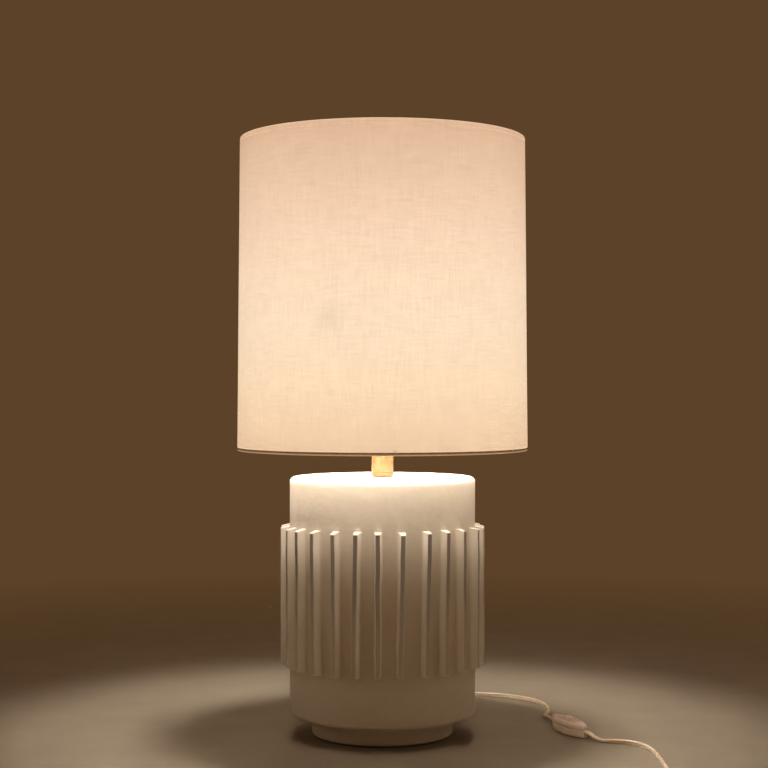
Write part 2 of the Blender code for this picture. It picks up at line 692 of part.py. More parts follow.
def make_bulb():
    """Round bulb: solder tip, screw base and an open-necked glass."""
    turned(
        "bulb_tip",
        [(0.0, TIP_TOP), (BULB_TIP_RADIUS, TIP_TOP), (BULB_TIP_RADIUS * 0.7, TIP_BOTTOM), (0.0, TIP_BOTTOM)],
        "steel",
        steps=16,
    )
    base = [(0.0, BULB_BASE_TOP), (BULB_BASE_RADIUS, BULB_BASE_TOP)]
    base += [(BULB_BASE_RADIUS, BULB_BASE_BOTTOM + 0.0050), (0.0060, BULB_BASE_BOTTOM)]
    base += [(0.0, BULB_BASE_BOTTOM)]
    turned("bulb_base", base, "aluminium")

    neck = BULB_BASE_TOP + GAP
    middle = BULB_TOP - BULB_RADIUS + 0.0010
    outer = [(0.0, BULB_TOP)]
    outer += arc(0.0, middle, BULB_RADIUS, 68, -18, 4)
    outer += [(0.0245, middle - 0.0195), (0.0185, middle - 0.0315), (0.0150, neck + 0.0080), (0.0135, neck)]
    inner = [(0.0135 - GLASS_WALL, neck), (0.0150 - GLASS_WALL, neck + 0.0080), (0.0175, middle - 0.0315)]
    inner += [(0.0235, middle - 0.0195)]
    inner += arc(0.0, middle, BULB_RADIUS - GLASS_WALL, -18, 68, 4)
    inner += [(0.0, BULB_TOP - GLASS_WALL)]
    turned("bulb_glass", outer + inner, "frosted_glass")


# ---------------------------------------------------------------------------
# Shade and finial
# ---------------------------------------------------------------------------
def shade_radius(height):
    """Radius of the fabric's face at a height; the drum widens a little to the bottom."""
    share = (height - SHADE_BOTTOM) / (SHADE_TOP - SHADE_BOTTOM)
    return SHADE_BOTTOM_RADIUS + share * (SHADE_TOP_RADIUS - SHADE_BOTTOM_RADIUS)


def drum_skin(name, inset, thickness, bottom, top, finish):
    """One layer of the shade's wall."""
    outer = [(shade_radius(height) - inset, height) for height in (top, bottom)]
    inner = [(radius - thickness, height) for radius, height in reversed(outer)]
    turned(name, outer + inner, finish, SHADE_STEPS)


def rolled_hem(name, edge, inwards):
    """The fabric rolled over a wire ring at one rim; inwards is +1 at the bottom rim."""
    face = shade_radius(edge)
    back = face - HEM_DEPTH
    near, far = edge + inwards * HEM_FLOOR, edge + inwards * HEM_HEIGHT
    points = [(face, far), (face, near), (face - HEM_FLOOR, edge)]
    points += [(back + HEM_FLOOR, edge), (back, near), (back, far)]
    points += [(back + FABRIC_THICKNESS, far), (back + FABRIC_THICKNESS, near)]
    points += [(face - FABRIC_THICKNESS, near), (face - FABRIC_THICKNESS, far)]
    if inwards < 0:
        points.reverse()
    return turned(name, points, "linen", SHADE_STEPS)


def wire_ring(name, radius, height):
    """A round wire bent into a ring."""
    turned(name, arc(radius, height, RING_WIRE, 90, -198, 4), "steel", SHADE_STEPS)


def arm_route():
    """One arm of the spider, pointing along +X: level, then up to the top ring."""
    level = (HUB_BOTTOM + HUB_TOP) / 2
    ring = SHADE_TOP - RING_RISE
    end = shade_radius(ring) - RING_INSET - RING_WIRE - GAP
    knots = (
        (HUB_RADIUS - 0.0010, 0, level),
        (0.0500, 0, level),
        (0.1000, 0, level),
        (0.1180, 0, level + 0.0015),
        (0.1290, 0, level + 0.0085),
        (0.1360, 0, ring - 0.0018),
        (end, 0, ring),
    )
    return smooth_route(knots, 0.0105)


def make_shade():
    """Linen on a styrene liner, rolled over two wire rings, with the spider that carries it."""
    end = HEM_HEIGHT + GAP
    drum_skin("shade_fabric", 0.0, FABRIC_THICKNESS, SHADE_BOTTOM + end, SHADE_TOP - end, "linen")
    end = HEM_FLOOR + GAP
    inset = FABRIC_THICKNESS + GAP
    drum_skin("shade_liner", inset, LINER_SKIN, SHADE_BOTTOM + end, SHADE_TOP - end, "styrene")
    for name, edge, inwards in (("bottom_ring", SHADE_BOTTOM, 1), ("top_ring", SHADE_TOP, -1)):
        height = edge + inwards * RING_RISE
        wire_ring(name, shade_radius(height) - RING_INSET, height)
    rolled_hem("bottom_hem", SHADE_BOTTOM, 1)
    top_hem = rolled_hem("top_hem", SHADE_TOP, -1)

    hub = pipe_piece("spider", HUB_RADIUS, HUB_HOLE, HUB_BOTTOM, HUB_TOP, "steel", 24)
    for number, bearing in enumerate(SPIDER_ARMS_DEG):
        turn = math.radians(bearing)
        arm = tube(f"arm_{number}", arm_route(), SPIDER_WIRE, "steel", resolution=1)
        arm.rotation_euler.z = turn
        arm = settle(arm)
        PARTS.objects.unlink(arm)
        CUTTERS.objects.link(arm)
        arm.hide_render = True
        arm.display_type = "WIRE"
        combine(hub, arm, "UNION")
        # The hem is slit where each arm passes through it to the ring.
        reach = SHADE_TOP_RADIUS - HEM_DEPTH
        place = (reach * math.cos(turn), reach * math.sin(turn), SHADE_TOP - SLIT_DEPTH)
        combine(top_hem, block(f"slit_{number}", SLIT_SIZE, place, rotation_deg=bearing))
    settle(hub)
    settle(top_hem)


def make_finial():
    """Turned brass knob with a threaded insert, over the washer that the spider sits on."""
    pipe_piece(
        "hub_washer", HUB_WASHER_RADIUS, STUD_RADIUS + 0.0006, HUB_WASHER_BOTTOM, HUB_WASHER_TOP, "brass", 24
    )
    insert_top = FINIAL_BOTTOM + INSERT_HEIGHT
    pipe_piece("finial_insert", INSERT_RADIUS, FINIAL_BORE, FINIAL_BOTTOM, insert_top, "steel", 20)
    bore = INSERT_RADIUS + GAP
    ball = 0.0082
    middle = FINIAL_TOP - ball
    outline = arc(0.0, middle, ball, 90, -42, 5)
    outline[0] = (0.0, FINIAL_TOP)
    outline += [(0.0062, FINIAL_BOTTOM + 0.0110), (0.0062, FINIAL_BOTTOM + 0.0060)]
    outline += [(0.0086, FINIAL_BOTTOM + 0.0040), (0.0086, FINIAL_BOTTOM + 0.0010), (0.0076, FINIAL_BOTTOM)]
    outline += [(bore, FINIAL_BOTTOM), (bore, insert_top + GAP), (0.0, insert_top + GAP)]
    turned("finial_knob", outline, "brass", 20)


# ---------------------------------------------------------------------------
# Cord, inline switch and plug
# ---------------------------------------------------------------------------
def make_cord_exit():
    """Lead inside the lamp, and the flanged strain relief in the back of the foot."""
    rise = 0.0110
    inner = [(0, 0, CAP_BOTTOM + 0.0090), (0, 0, 0.1800), (0, 0, 0.0500), (0, 0, EXIT_HEIGHT + rise)]
    for angle_deg in (22.5, 45.0, 67.5):
        angle = math.radians(angle_deg)
        inner.append((0, rise * (1 - math.cos(angle)), EXIT_HEIGHT + rise * (1 - math.sin(angle))))
    inner += [(0, rise, EXIT_HEIGHT), (0, INNER_LEAD_END, EXIT_HEIGHT)]
    settle(tube("inner_lead", inner, CORD_RADIUS, "clear_pvc"))

    flange_face = GROMMET_FLANGE_AT + 0.0025
    outline = [(CORD_BORE, GROMMET_END), (CORD_BORE + 0.0010, GROMMET_END)]
    outline += [(GROMMET_SHANK + 0.0006, flange_face + 0.0005)]
    outline += [(GROMMET_FLANGE, flange_face), (GROMMET_FLANGE, GROMMET_FLANGE_AT)]
    outline += [(GROMMET_SHANK, GROMMET_FLANGE_AT), (GROMMET_SHANK, GROMMET_START)]
    outline += [(CORD_BORE, GROMMET_START)]
    grommet = turned("cord_grommet", outline, "clear_pvc", steps=20)
    grommet.rotation_euler.x = -math.pi / 2
    grommet.location.z = EXIT_HEIGHT


def switch_outline(inset=0.0):
    """Plan of the inline switch: straight sides, drawn in to a nose at each end."""
    length = SWITCH_LENGTH / 2 - inset
    width = SWITCH_WIDTH / 2 - inset
    nose = SWITCH_NOSE - inset / 2
    right = [(length, nose), (length - 0.0110, width - 0.0012), (length - 0.0150, width)]
    points = [(x, -y) for x, y in right]
    points += [(-x, -y) for x, y in reversed(right)]
    points += [(-x, y) for x, y in right]
    points += [(x, y) for x, y in reversed(right)]
    return points


def make_switch():
    """Two shells and a rocker, lying flat on the table in line with the cord."""
    anchor = empty("switch_frame", (*SWITCH_PLACE, 0.0), SWITCH_HEADING_DEG)
    floor = GAP
    shells = (
        ("switch_lower_shell", floor, SWITCH_JOIN, SWITCH_WALL / 2),
        ("switch_upper_shell", SWITCH_JOIN + GAP, floor + SWITCH_HEIGHT, -SWITCH_WALL / 2),
    )
    slot_size = (ROCKER_LENGTH + 1.6 * ROCKER_PLAY, ROCKER_WIDTH + ROCKER_PLAY, 0.0200)
    slot = block("rocker_slot", slot_size, (0, 0, 0.0200))
    slot.parent = anchor
    for name, bottom, top, shift in shells:
        shell = plate(name, switch_outline(), top - bottom, "clear_pvc")
        shell.parent = anchor
        shell.location.z = (bottom + top) / 2
        shell = settle(shell)
        hollow = plate(f"{name}_hollow", switch_outline(SWITCH_WALL), top - bottom)
        hollow.parent = anchor
        hollow.location.z = (bottom + top) / 2 + 2 * shift
        combine(shell, settle(hollow))
        if shift < 0:
            combine(shell, slot)
        settle(shell)

    end = ROCKER_LENGTH / 2
    rocker_outline = [(-end, 0.0012), (-0.0030, 0.0046), (0.0030, 0.0046), (end, 0.0012)]
    rocker_outline += [(end - 0.0010, -0.0016), (0.0, -0.0034), (-end + 0.0010, -0.0016)]
    rocker = plate("switch_rocker", rocker_outline, ROCKER_WIDTH, "clear_pvc")
    rocker.parent = anchor
    rocker.location.z = ROCKER_AXIS_HEIGHT
    rocker.rotation_euler = (math.pi / 2, math.radians(ROCKER_TILT_DEG), 0)
    settle(rocker)


def make_cord_runs():
    """The two open stretches of cord, the coil with its tie, and the tail to the plug.

    Returns the tail's y, where the plug lies.
    """
    settle(tube("cord_to_switch", smooth_route(CORD_TO_SWITCH, CORD_STEP), CORD_RADIUS, "clear_pvc"))
    settle(tube("cord_to_coil", smooth_route(CORD_TO_COIL, CORD_STEP), CORD_RADIUS, "clear_pvc"))

    section = arc(COIL_RADIUS, 0.0, BUNDLE_RADIUS, 90, -225, 7)
    coil = turned("cord_coil", section, "clear_pvc", steps=32)
    coil.location = (*COIL_PLACE, BUNDLE_HEIGHT)
    tie_inner = BUNDLE_RADIUS + TIE_PLAY
    tie_outer = tie_inner + TIE_THICKNESS
    half = TIE_WIDTH / 2
    tie = pipe_piece("cord_tie", tie_outer, tie_inner, -half, half, "tie")
    tie.rotation_euler.x = math.pi / 2
    tie.location = (COIL_PLACE[0] - COIL_RADIUS, COIL_PLACE[1], BUNDLE_HEIGHT)

    outermost = COIL_RADIUS + BUNDLE_RADIUS - CORD_RADIUS - 0.0015
    tail_y = COIL_PLACE[1] - outermost
    tail_start = COIL_PLACE[0] - 0.0212
    tail = [(tail_start, tail_y, BUNDLE_HEIGHT), (tail_start - 0.009, tail_y, 0.0086)]
    tail += [(PLUG_BACK + 0.010, tail_y, 0.0074), (PLUG_BACK + GAP, tail_y, PLUG_THICKNESS / 2 + GAP)]
    settle(tube("cord_tail", smooth_route(tail, 0.0045), CORD_RADIUS, "clear_pvc"))
    return tail_y


def make_plug(plug_y):
    """Moulded two-blade plug, drawn in towards the cord."""
    anchor = empty("plug_frame", (PLUG_BACK, plug_y, PLUG_THICKNESS / 2 + GAP), 180.0)
    width = PLUG_WIDTH / 2
    outline = [(0.0, -0.0045), (0.0120, -width * 0.72), (0.0200, -width), (PLUG_LENGTH, -width)]
    outline += [(x, -y) for x, y in reversed(outline)]
    plug = plate("plug_body", outline, PLUG_THICKNESS, "clear_pvc")
    plug.parent = anchor
    plug = settle(plug)
    rounding = plug.modifiers.new("rounding", "BEVEL")
    rounding.width = 0.0016
    rounding.segments = 2
    rounding.limit_method = "ANGLE"
    rounding.angle_limit = math.radians(50)
    settle(plug)
    for side, name in ((-1, "plug_blade_left"), (1, "plug_blade_right")):
        centre_x = PLUG_LENGTH + GAP + BLADE_LENGTH / 2
        place = (centre_x, side * BLADE_SPACING / 2, 0.0)
        blade = block(name, (BLADE_LENGTH, BLADE_THICKNESS, BLADE_WIDTH), place, "brass")
        blade.parent = anchor


make_ceramic()
make_base_hardware()
make_neck()
make_saddle()
make_harp()
make_socket()
make_bulb()
make_shade()
make_finial()
make_cord_exit()
make_switch()
make_plug(make_cord_runs())
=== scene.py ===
"""Looks for a lit table lamp: linen drum shade, finned ceramic body, brass neck, clear twin cord.

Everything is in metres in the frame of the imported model: Z up, the lamp's axis at the origin,
the table at height 0 and the front of the lamp towards -Y.
"""

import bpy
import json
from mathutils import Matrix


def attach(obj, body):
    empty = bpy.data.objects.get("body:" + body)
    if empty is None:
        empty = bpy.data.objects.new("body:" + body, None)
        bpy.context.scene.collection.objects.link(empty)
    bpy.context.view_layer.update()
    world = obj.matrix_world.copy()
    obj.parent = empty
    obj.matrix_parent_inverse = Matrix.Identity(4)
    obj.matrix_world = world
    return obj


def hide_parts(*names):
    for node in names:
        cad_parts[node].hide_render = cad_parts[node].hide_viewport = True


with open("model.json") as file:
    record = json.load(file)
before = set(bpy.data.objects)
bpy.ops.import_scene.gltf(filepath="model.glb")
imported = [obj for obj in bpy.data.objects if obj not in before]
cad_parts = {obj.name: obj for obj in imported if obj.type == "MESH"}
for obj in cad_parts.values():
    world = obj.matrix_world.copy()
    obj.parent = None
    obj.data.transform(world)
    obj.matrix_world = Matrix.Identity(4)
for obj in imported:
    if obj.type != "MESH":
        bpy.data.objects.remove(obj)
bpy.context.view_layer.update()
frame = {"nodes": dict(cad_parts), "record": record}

import json
import math
import random

import bmesh
import bpy
from mathutils import Matrix, Vector, noise

MM = 0.001
FULL_TURN = 2 * math.pi
NODES = frame["nodes"]


# ---- Meshes ----
def mix(a, b, share):
    """The value a share of the way from a to b."""
    return a + (b - a) * share


def smoothstep(low, high, value):
    """0 below low, 1 above high, and a soft step between."""
    share = min(max((value - low) / (high - low), 0.0), 1.0)
    return share * share * (3.0 - 2.0 * share)


def around(radius, angle):
    """The place (x, y) at a radius and an angle."""
    return radius * math.cos(angle), radius * math.sin(angle)


def bumpy(size, *place):
    """A soft random height, up to about size either way."""
    return size * noise.noise(Vector(place))


def squared(size, power, value):
    """A sine or cosine pulled out towards a rounded square."""
    return size * math.copysign(abs(value) ** power, value)


def linked(name, data):
    """A new object, linked to the scene."""
    thing = bpy.data.objects.new(name, data)
    bpy.context.scene.collection.objects.link(thing)
    return thing


def finished(name, mesh, look):
    """A smooth-shaded mesh as an object with its material."""
    mesh.polygons.foreach_set("use_smooth", [True] * len(mesh.polygons))
    if look:
        mesh.materials.append(look)
    return linked(name, mesh)


def new_piece(name, vertices, faces, look=None):
    """A mesh object of its own."""
    mesh = bpy.data.meshes.new(name)
    mesh.from_pydata([tuple(vertex) for vertex in vertices], [], faces)
    mesh.validate()
    return finished(name, mesh, look)


def outwards(piece, weld=False):
    """Turns every face outwards, after joining doubled points if asked."""
    work = bmesh.new()
    work.from_mesh(piece.data)
    if weld:
        bmesh.ops.remove_doubles(work, verts=work.verts, dist=1e-6)
        bmesh.ops.dissolve_degenerate(work, edges=work.edges, dist=1e-7)
    bmesh.ops.recalc_face_normals(work, faces=work.faces)
    work.to_mesh(piece.data)
    work.free()
    return piece


def loop_faces(rows, columns, closed_rows):
    """Quads over a grid of vertices, numbered along each row; the columns close on themselves."""
    faces = []
    for row in range(rows if closed_rows else rows - 1):
        above = ((row + 1) % rows) * columns
        here = row * columns
        for column in range(columns):
            after = (column + 1) % columns
            faces.append((here + column, here + after, above + after, above + column))
    return faces


def skin(name, vertices, columns, look, closed=False):
    """A tube through rings of vertices, capped unless it closes on itself."""
    faces = loop_faces(len(vertices) // columns, columns, closed)
    if not closed:
        faces.append(tuple(reversed(range(columns))))
        faces.append(tuple(range(len(vertices) - columns, len(vertices))))
    return outwards(new_piece(name, vertices, faces, look))


def turned(name, outline, look, steps=96, shape=None):
    """A closed outline of (radius, height) turned about Z.

    shape(angle, radius, height) may move each point and returns (radius, height).
    """
    vertices = []
    for radius, height in outline:
        for step in range(steps):
            angle = FULL_TURN * step / steps
            r, z = shape(angle, radius, height) if shape else (radius, height)
            vertices.append((*around(r, angle), z))
    return outwards(new_piece(name, vertices, loop_faces(len(outline), steps, True), look), weld=True)


def softened(outline, radius):
    """The closed outline with each sharp corner replaced by a small round of four points."""
    points = [Vector(point) for point in outline]
    result = []
    for index, corner in enumerate(points):
        back = points[index - 1] - corner
        ahead = points[(index + 1) % len(points)] - corner
        kept = corner.x < 1e-6 or min(back.length, ahead.length) < 1e-9
        if kept or math.degrees(back.angle(ahead)) > 160:
            result.append(tuple(corner))
            continue
        reach = min(radius, 0.4 * back.length, 0.4 * ahead.length)
        start, end = (corner + way.normalized() * reach for way in (back, ahead))
        for share in (0.0, 0.33, 0.67, 1.0):
            first, second = start.lerp(corner, share), corner.lerp(end, share)
            result.append(tuple(first.lerp(second, share)))
    return result


def arc(centre, radius, start_deg, end_deg, pieces):
    """Points on an arc around centre, in the plane of the outline."""
    points = []
    for index in range(pieces + 1):
        x, y = around(radius, math.radians(mix(start_deg, end_deg, index / pieces)))
        points.append((centre[0] + x, centre[1] + y))
    return points


def meridian(node, centre):
    """The closed outline of (radius, height) of a turned CAD node about an upright axis."""
    places, links, found = {}, {}, []
    mesh = NODES[node].data
    for vertex in mesh.vertices:
        x, y = vertex.co.x - centre[0], vertex.co.y - centre[1]
        found.append((math.hypot(x, y), math.atan2(y, x), vertex.co.z))
    angle = max(found)[1]

    def key_of(index):
        radius, bearing, height = found[index]
        turn = (bearing - angle + math.pi) % FULL_TURN - math.pi
        if radius > 2e-5 and abs(turn) * radius > 2e-5:
            return None
        key = (round(radius, 6), round(height, 6))
        places[key] = (radius if radius > 2e-5 else 0.0, height)
        return key

    for edge in mesh.edges:
        first, second = (key_of(index) for index in edge.vertices)
        if first and second and first != second:
            links.setdefault(first, set()).add(second)
            links.setdefault(second, set()).add(first)
    ends = [key for key in links if len(links[key]) == 1]
    key = max(ends) if ends else max(links)
    order, last = [key], None
    while True:
        onward = [other for other in links[key] if other != last and other not in order]
        if not onward:
            return [places[key] for key in order]
        last, key = key, max(onward, key=lambda other: other[1])
        order.append(key)


def fine_turned(node, look, centre=(0.0, 0.0), steps=72):
    """A finer copy of a turned CAD node, with its corners softened."""
    piece = turned(f"{node}_fine", softened(meridian(node, centre), 0.25 * MM), look, steps)
    piece.data.transform(Matrix.Translation((*centre, 0.0)))
    return piece


def smooth_route(knots, step):
    """Points about a step apart on a smooth curve through the knots."""
    knots = [Vector(knot) for knot in knots]
    padded = [2 * knots[0] - knots[1], *knots, 2 * knots[-1] - knots[-2]]
    dense = []
    for before, start, end, after in zip(padded, padded[1:], padded[2:], padded[3:]):
        for index in range(24):
            t = index / 24
            bend = 2 * before - 5 * start + 4 * end - after
            twist = 3 * start - before - 3 * end + after
            dense.append(start + 0.5 * t * ((end - before) + t * (bend + t * twist)))
    dense.append(knots[-1])
    return evenly(dense, step)


def distances(route):
    """How far along the route each of its points is."""
    travelled, marks = 0.0, []
    for before, here in zip([route[0], *route], route):
        travelled += (here - before).length
        marks.append(travelled)
    return marks


def evenly(dense, step):
    """The same route with its points an equal distance apart."""
    total = distances(dense)[-1]
    pieces = max(2, round(total / step))
    route, travelled, target = [dense[0].copy()], 0.0, total / pieces
    for a, b in zip(dense, dense[1:]):
        length = (b - a).length
        while travelled + length >= target - 1e-9 and len(route) < pieces:
            route.append(a.lerp(b, (target - travelled) / length))
            target += total / pieces
        travelled += length
    route.append(dense[-1].copy())
    return route


def tangents(route):
    """The direction of the route at each point."""
    last = len(route) - 1
    return [(route[min(i + 1, last)] - route[max(i - 1, 0)]).normalized() for i in range(last + 1)]


def sweep(name, route, section, look, frames=None, closed=False):
    """A tube along the route. section is points (side, up); frames gives (side, up) at each point."""
    vertices = []
    for place, (side, up) in zip(route, frames or level_frames(route)):
        vertices += [place + side * x + up * y for x, y in section]
    return skin(name, vertices, len(section), look, closed)


def level_frames(route):
    """Side and up at each point, carried along the route without turning about it."""
    directions = tangents(route)
    side = directions[0].cross(Vector((0, 0, 1)))
    if side.length < 0.1:
        side = directions[0].cross(Vector((0, 1, 0)))
    side.normalize()
    frames = []
    for before, here in zip([directions[0], *directions], directions):
        side = before.rotation_difference(here) @ side
        side = (side - here * side.dot(here)).normalized()
        frames.append((side, side.cross(here) * -1.0))
    return frames


def round_section(radius, sides=14):
    """A circle of points for a sweep."""
    return [around(radius, FULL_TURN * index / sides) for index in range(sides)]


def rounded_box(name, size, place, look, bevel, frame_of):
    """A box with rounded edges, in a frame. Its sizes are in millimetres."""
    work = bmesh.new()
    bmesh.ops.create_cube(work, size=1.0)
    bmesh.ops.scale(work, vec=Vector(size) * MM, verts=work.verts)
    bmesh.ops.bevel(work, geom=work.edges, offset=bevel * MM, segments=3, profile=0.6, affect="EDGES")
    bmesh.ops.translate(work, vec=Vector(place) * MM, verts=work.verts)
    work.transform(frame_of)
    mesh = bpy.data.meshes.new(name)
    work.to_mesh(mesh)
    work.free()
    return finished(name, mesh, look)


def stack(name, rings, look, frame_of):
    """A closed skin through rings that all have the same number of points, in a frame."""
    return skin(name, [frame_of @ Vector(point) for ring in rings for point in ring], len(rings[0]), look)


def joined(name, pieces):
    """Several mesh pieces as one object, each part keeping its own material."""
    vertices, faces, looks, slots = [], [], [], []
    for piece in pieces:
        start = len(vertices)
        vertices += [tuple(vertex.co) for vertex in piece.data.vertices]
        for polygon in piece.data.polygons:
            faces.append([start + index for index in polygon.vertices])
            look = piece.data.materials[polygon.material_index]
            if look not in looks:
                looks.append(look)
            slots.append(looks.index(look))
        bpy.data.objects.remove(piece)
    whole = new_piece(name, vertices, faces)
    for look in looks:
        whole.data.materials.append(look)
    whole.data.polygons.foreach_set("material_index", slots)
    return whole


def cut(piece, cutter):
    """Takes the cutter's solid out of the piece."""
    difference = piece.modifiers.new("cut", "BOOLEAN")
    difference.operation = "DIFFERENCE"
    difference.object = cutter
    bpy.context.view_layer.update()
    evaluated = piece.evaluated_get(bpy.context.evaluated_depsgraph_get())
    mesh = bpy.data.meshes.new_from_object(evaluated)
    piece.modifiers.clear()
    piece.data = mesh
    bpy.data.objects.remove(cutter)


def stand_for(piece, body, slot, *nodes):
    """The piece rides on the body and stands for the CAD nodes, which are hidden; slot is not used."""
    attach(piece, body)
    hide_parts(*nodes)
    return piece


# ---- Sizes of the ceramic body ----
FOOT_HEIGHT = 0.0215
FOOT_TOP_RADIUS = 0.0748
FOOT_BASE_RADIUS = 0.0740
FOOT_RECESS_RADIUS = 0.0640
RECESS_CEILING = 0.0320
CERAMIC_BOTTOM = 0.0018
BODY_RADIUS = 0.0975
BODY_TOP = 0.2703
BODY_WALL = 0.0062
BODY_DECK = 0.0070
SHELF_RADIUS = 0.0712
PIPE_HOLE = 0.0054
TOP_ROUNDING = 0.0050
UNDER_ROUNDING = 0.0055
FIN_COUNT = 27
FIN_RADIUS = 0.1076
FIN_DEPTH = FIN_RADIUS - BODY_RADIUS
FIN_TOP_ROOT = 0.2213
FIN_TOP_TIP = 0.2184
FIN_BOTTOM_ROOT = 0.0738
FIN_BOTTOM_TIP = 0.0752
FIN_TOP_SOFTNESS = 3.2 * MM     # rounding where a fin's outer face meets its ends
FIN_FOOT_SOFTNESS = 1.3 * MM
FIN_TIP_HALF = 2.75 * MM        # half a fin's thickness at its outer face
FIN_ROOT_HALF = 3.50 * MM       # and at the body
FIN_EDGE = 1.0 * MM             # rounding of a fin's outer corners
FIN_FILLET = 2.0 * MM           # clay pressed into the corner beside a fin
FRONT_FIN_DEG = -1.4
FRONT_NUDGES_DEG = (-1.3, 1.3, -0.2, -0.5, -0.1, 0.2, -1.1, -0.4, 1.2, 0.1, -0.4, 2.7, 1.2)
FRONT_LEANS_MM = (0.0, 0.3, 1.0, 2.6, 1.4, -1.8, 0.0, -3.2, -3.0, -2.3, 0.2, -1.0, 0.0)
BACK_NUDGE_DEG = 1.1
BACK_LEAN_MM = 2.0
FIN_SEED = 7


# ---- Materials ----
def colour(red, green, blue):
    """A colour as a shader takes it, from the usual 0 to 255 scale."""
    shares = (value / 255.0 for value in (red, green, blue))
    return (*(v / 12.92 if v <= 0.04045 else ((v + 0.055) / 1.055) ** 2.4 for v in shares), 1.0)


class Look:
    """A material that is being built, with a short call for each kind of node.

    A colour is three numbers from 0 to 255, or four as a shader takes them.
    """

    def __init__(self, name, base, roughness, metallic=0.0):
        self.material = bpy.data.materials.new(name)
        self.material.use_nodes = True
        self.tree = self.material.node_tree
        self.shader = self.tree.nodes["Principled BSDF"]
        self.put({"Base Color": base, "Roughness": roughness, "Metallic": metallic})
        self.place = self.add("ShaderNodeTexCoord").outputs["Object"]

    def feed(self, socket, value):
        """Links an output to an input, or sets the input's own value."""
        if isinstance(value, bpy.types.NodeSocket):
            self.tree.links.new(value, socket)
        elif socket.type == "RGBA" and len(value) == 3:
            socket.default_value = colour(*value)
        else:
            socket.default_value = value

    def put(self, values):
        """Sets or links the named inputs of the surface."""
        for name, value in values.items():
            self.feed(self.shader.inputs[name], value)

    def add(self, kind, inputs=(), **settings):
        node = self.tree.nodes.new(kind)
        for key, value in settings.items():
            setattr(node, key, value)
        for key, value in dict(inputs).items():
            self.feed(node.inputs[key], value)
        return node

    def maths(self, operation, first, second=0.0):
        return self.add("ShaderNodeMath", {0: first, 1: second}, operation=operation).outputs[0]

    def times(self, first, second):
        return self.maths("MULTIPLY", first, second)

    def plus(self, first, second):
        return self.maths("ADD", first, second)

    def vector_maths(self, operation, second=(0.0, 0.0, 0.0)):
        """A sum on the piece's own coordinates."""
        return self.add("ShaderNodeVectorMath", {0: self.place, 1: second}, operation=operation)

    def noise(self, scale, detail=2.0):
        """A cloudy pattern from about 0.3 to 0.7. scale is per metre, or one for each axis."""
        vector = self.place
        if isinstance(scale, tuple):
            vector, scale = self.vector_maths("MULTIPLY", scale).outputs[0], 1.0
        inputs = {"Vector": vector, "Scale": scale, "Detail": detail}
        return self.add("ShaderNodeTexNoise", inputs).outputs["Fac"]

    def spread(self, value, low, high, new_low=0.0, new_high=1.0):
        """Maps a range of values on another, held at its ends."""
        inputs = {0: value, 1: low, 2: high, 3: new_low, 4: new_high}
        return self.add("ShaderNodeMapRange", inputs).outputs[0]

    def blend(self, factor, first, second, mode="MIX"):
        node = self.add("ShaderNodeMix", data_type="RGBA", blend_type=mode)
        for socket, value in ((0, factor), (6, first), (7, second)):
            self.feed(node.inputs[socket], value)
        return node.outputs[2]

    def tinted(self, first, second):
        """One colour multiplied by another."""
        return self.blend(1.0, first, second, "MULTIPLY")

    def ramp(self, factor, stops):
        """A colour for each place of the factor."""
        node = self.add("ShaderNodeValToRGB", {0: factor})
        elements = node.color_ramp.elements
        while len(elements) < len(stops):
            elements.new(1.0)
        for element, (place, shade) in zip(elements, stops):
            element.position = place
            element.color = colour(*shade) if len(shade) == 3 else shade
        return node.outputs[0]

    def bump(self, height, distance, under=None):
        inputs = {"Height": height, "Distance": distance}
        if under:
            inputs["Normal"] = under
        return self.add("ShaderNodeBump", inputs).outputs[0]

    def attribute(self, name):
        """A value that the mesh holds for each of its points."""
        return self.add("ShaderNodeAttribute", attribute_name=name).outputs["Fac"]

    def axes(self):
        """The three coordinates of the piece's own place."""
        return self.add("ShaderNodeSeparateXYZ", {0: self.place}).outputs[:3]


GLOW_BOTTOM = 0.2972
GLOW_TOP = 0.6254
GLOW_STRENGTH = 0.9
# The shade's own light, by height: brightest beside the bulb, warmer and dimmer to both rims.
GLOW = (
    (GLOW_BOTTOM, (235, 200, 165)),
    (0.330, (248, 214, 180)),
    (0.370, (255, 225, 191)),
    (0.420, (255, 229, 198)),
    (0.470, (255, 227, 196)),
    (0.520, (249, 216, 187)),
    (0.570, (236, 202, 172)),
    (GLOW_TOP, (221, 184, 154)),
)
# What the rolled hems let through: the wire and three folds of cloth keep most of it back.
BOTTOM_HEM_GLOW = (
    # The lowest band, under the dark one, is painted light: the underside of the roll lit by light thrown up
    # from the ceramic deck.
    (0.2972, (182, 142, 102)),
    (0.2995, (188, 148, 108)),
    (0.2999, (60, 36, 18)),
    (0.3014, (60, 36, 18)),
    (0.3019, (248, 214, 178)),
    (0.6254, (248, 214, 178)),
)
TOP_HEM_GLOW = (
    (0.2972, (221, 184, 154)),
    (0.6240, (221, 184, 154)),
    # Painted highlight: a brighter line along the very top edge of the roll.
    (0.6247, (240, 206, 174)),
    (0.6254, (242, 208, 176)),
)
# Heights of the bottom hem's groove, where the cloth is painted dark as shade.
HEM_SHADED_GROOVE = (0.2996, 0.3019)
# Spots that hold back some of the shade's light: a painted soft shadow at the bulb's height, the bulb's cool
# spot, and a knot beside the bottom hem.
SHADOW_AND_KNOT_SPOTS = (
    ((-0.0508, -0.1425, 0.4329), 0.0200, 0.91),
    ((0.0124, -0.1522, 0.3030), 0.0016, 0.45),
)
THREAD_PITCH = 0.75 * MM
THREADS_AROUND = 1257.0


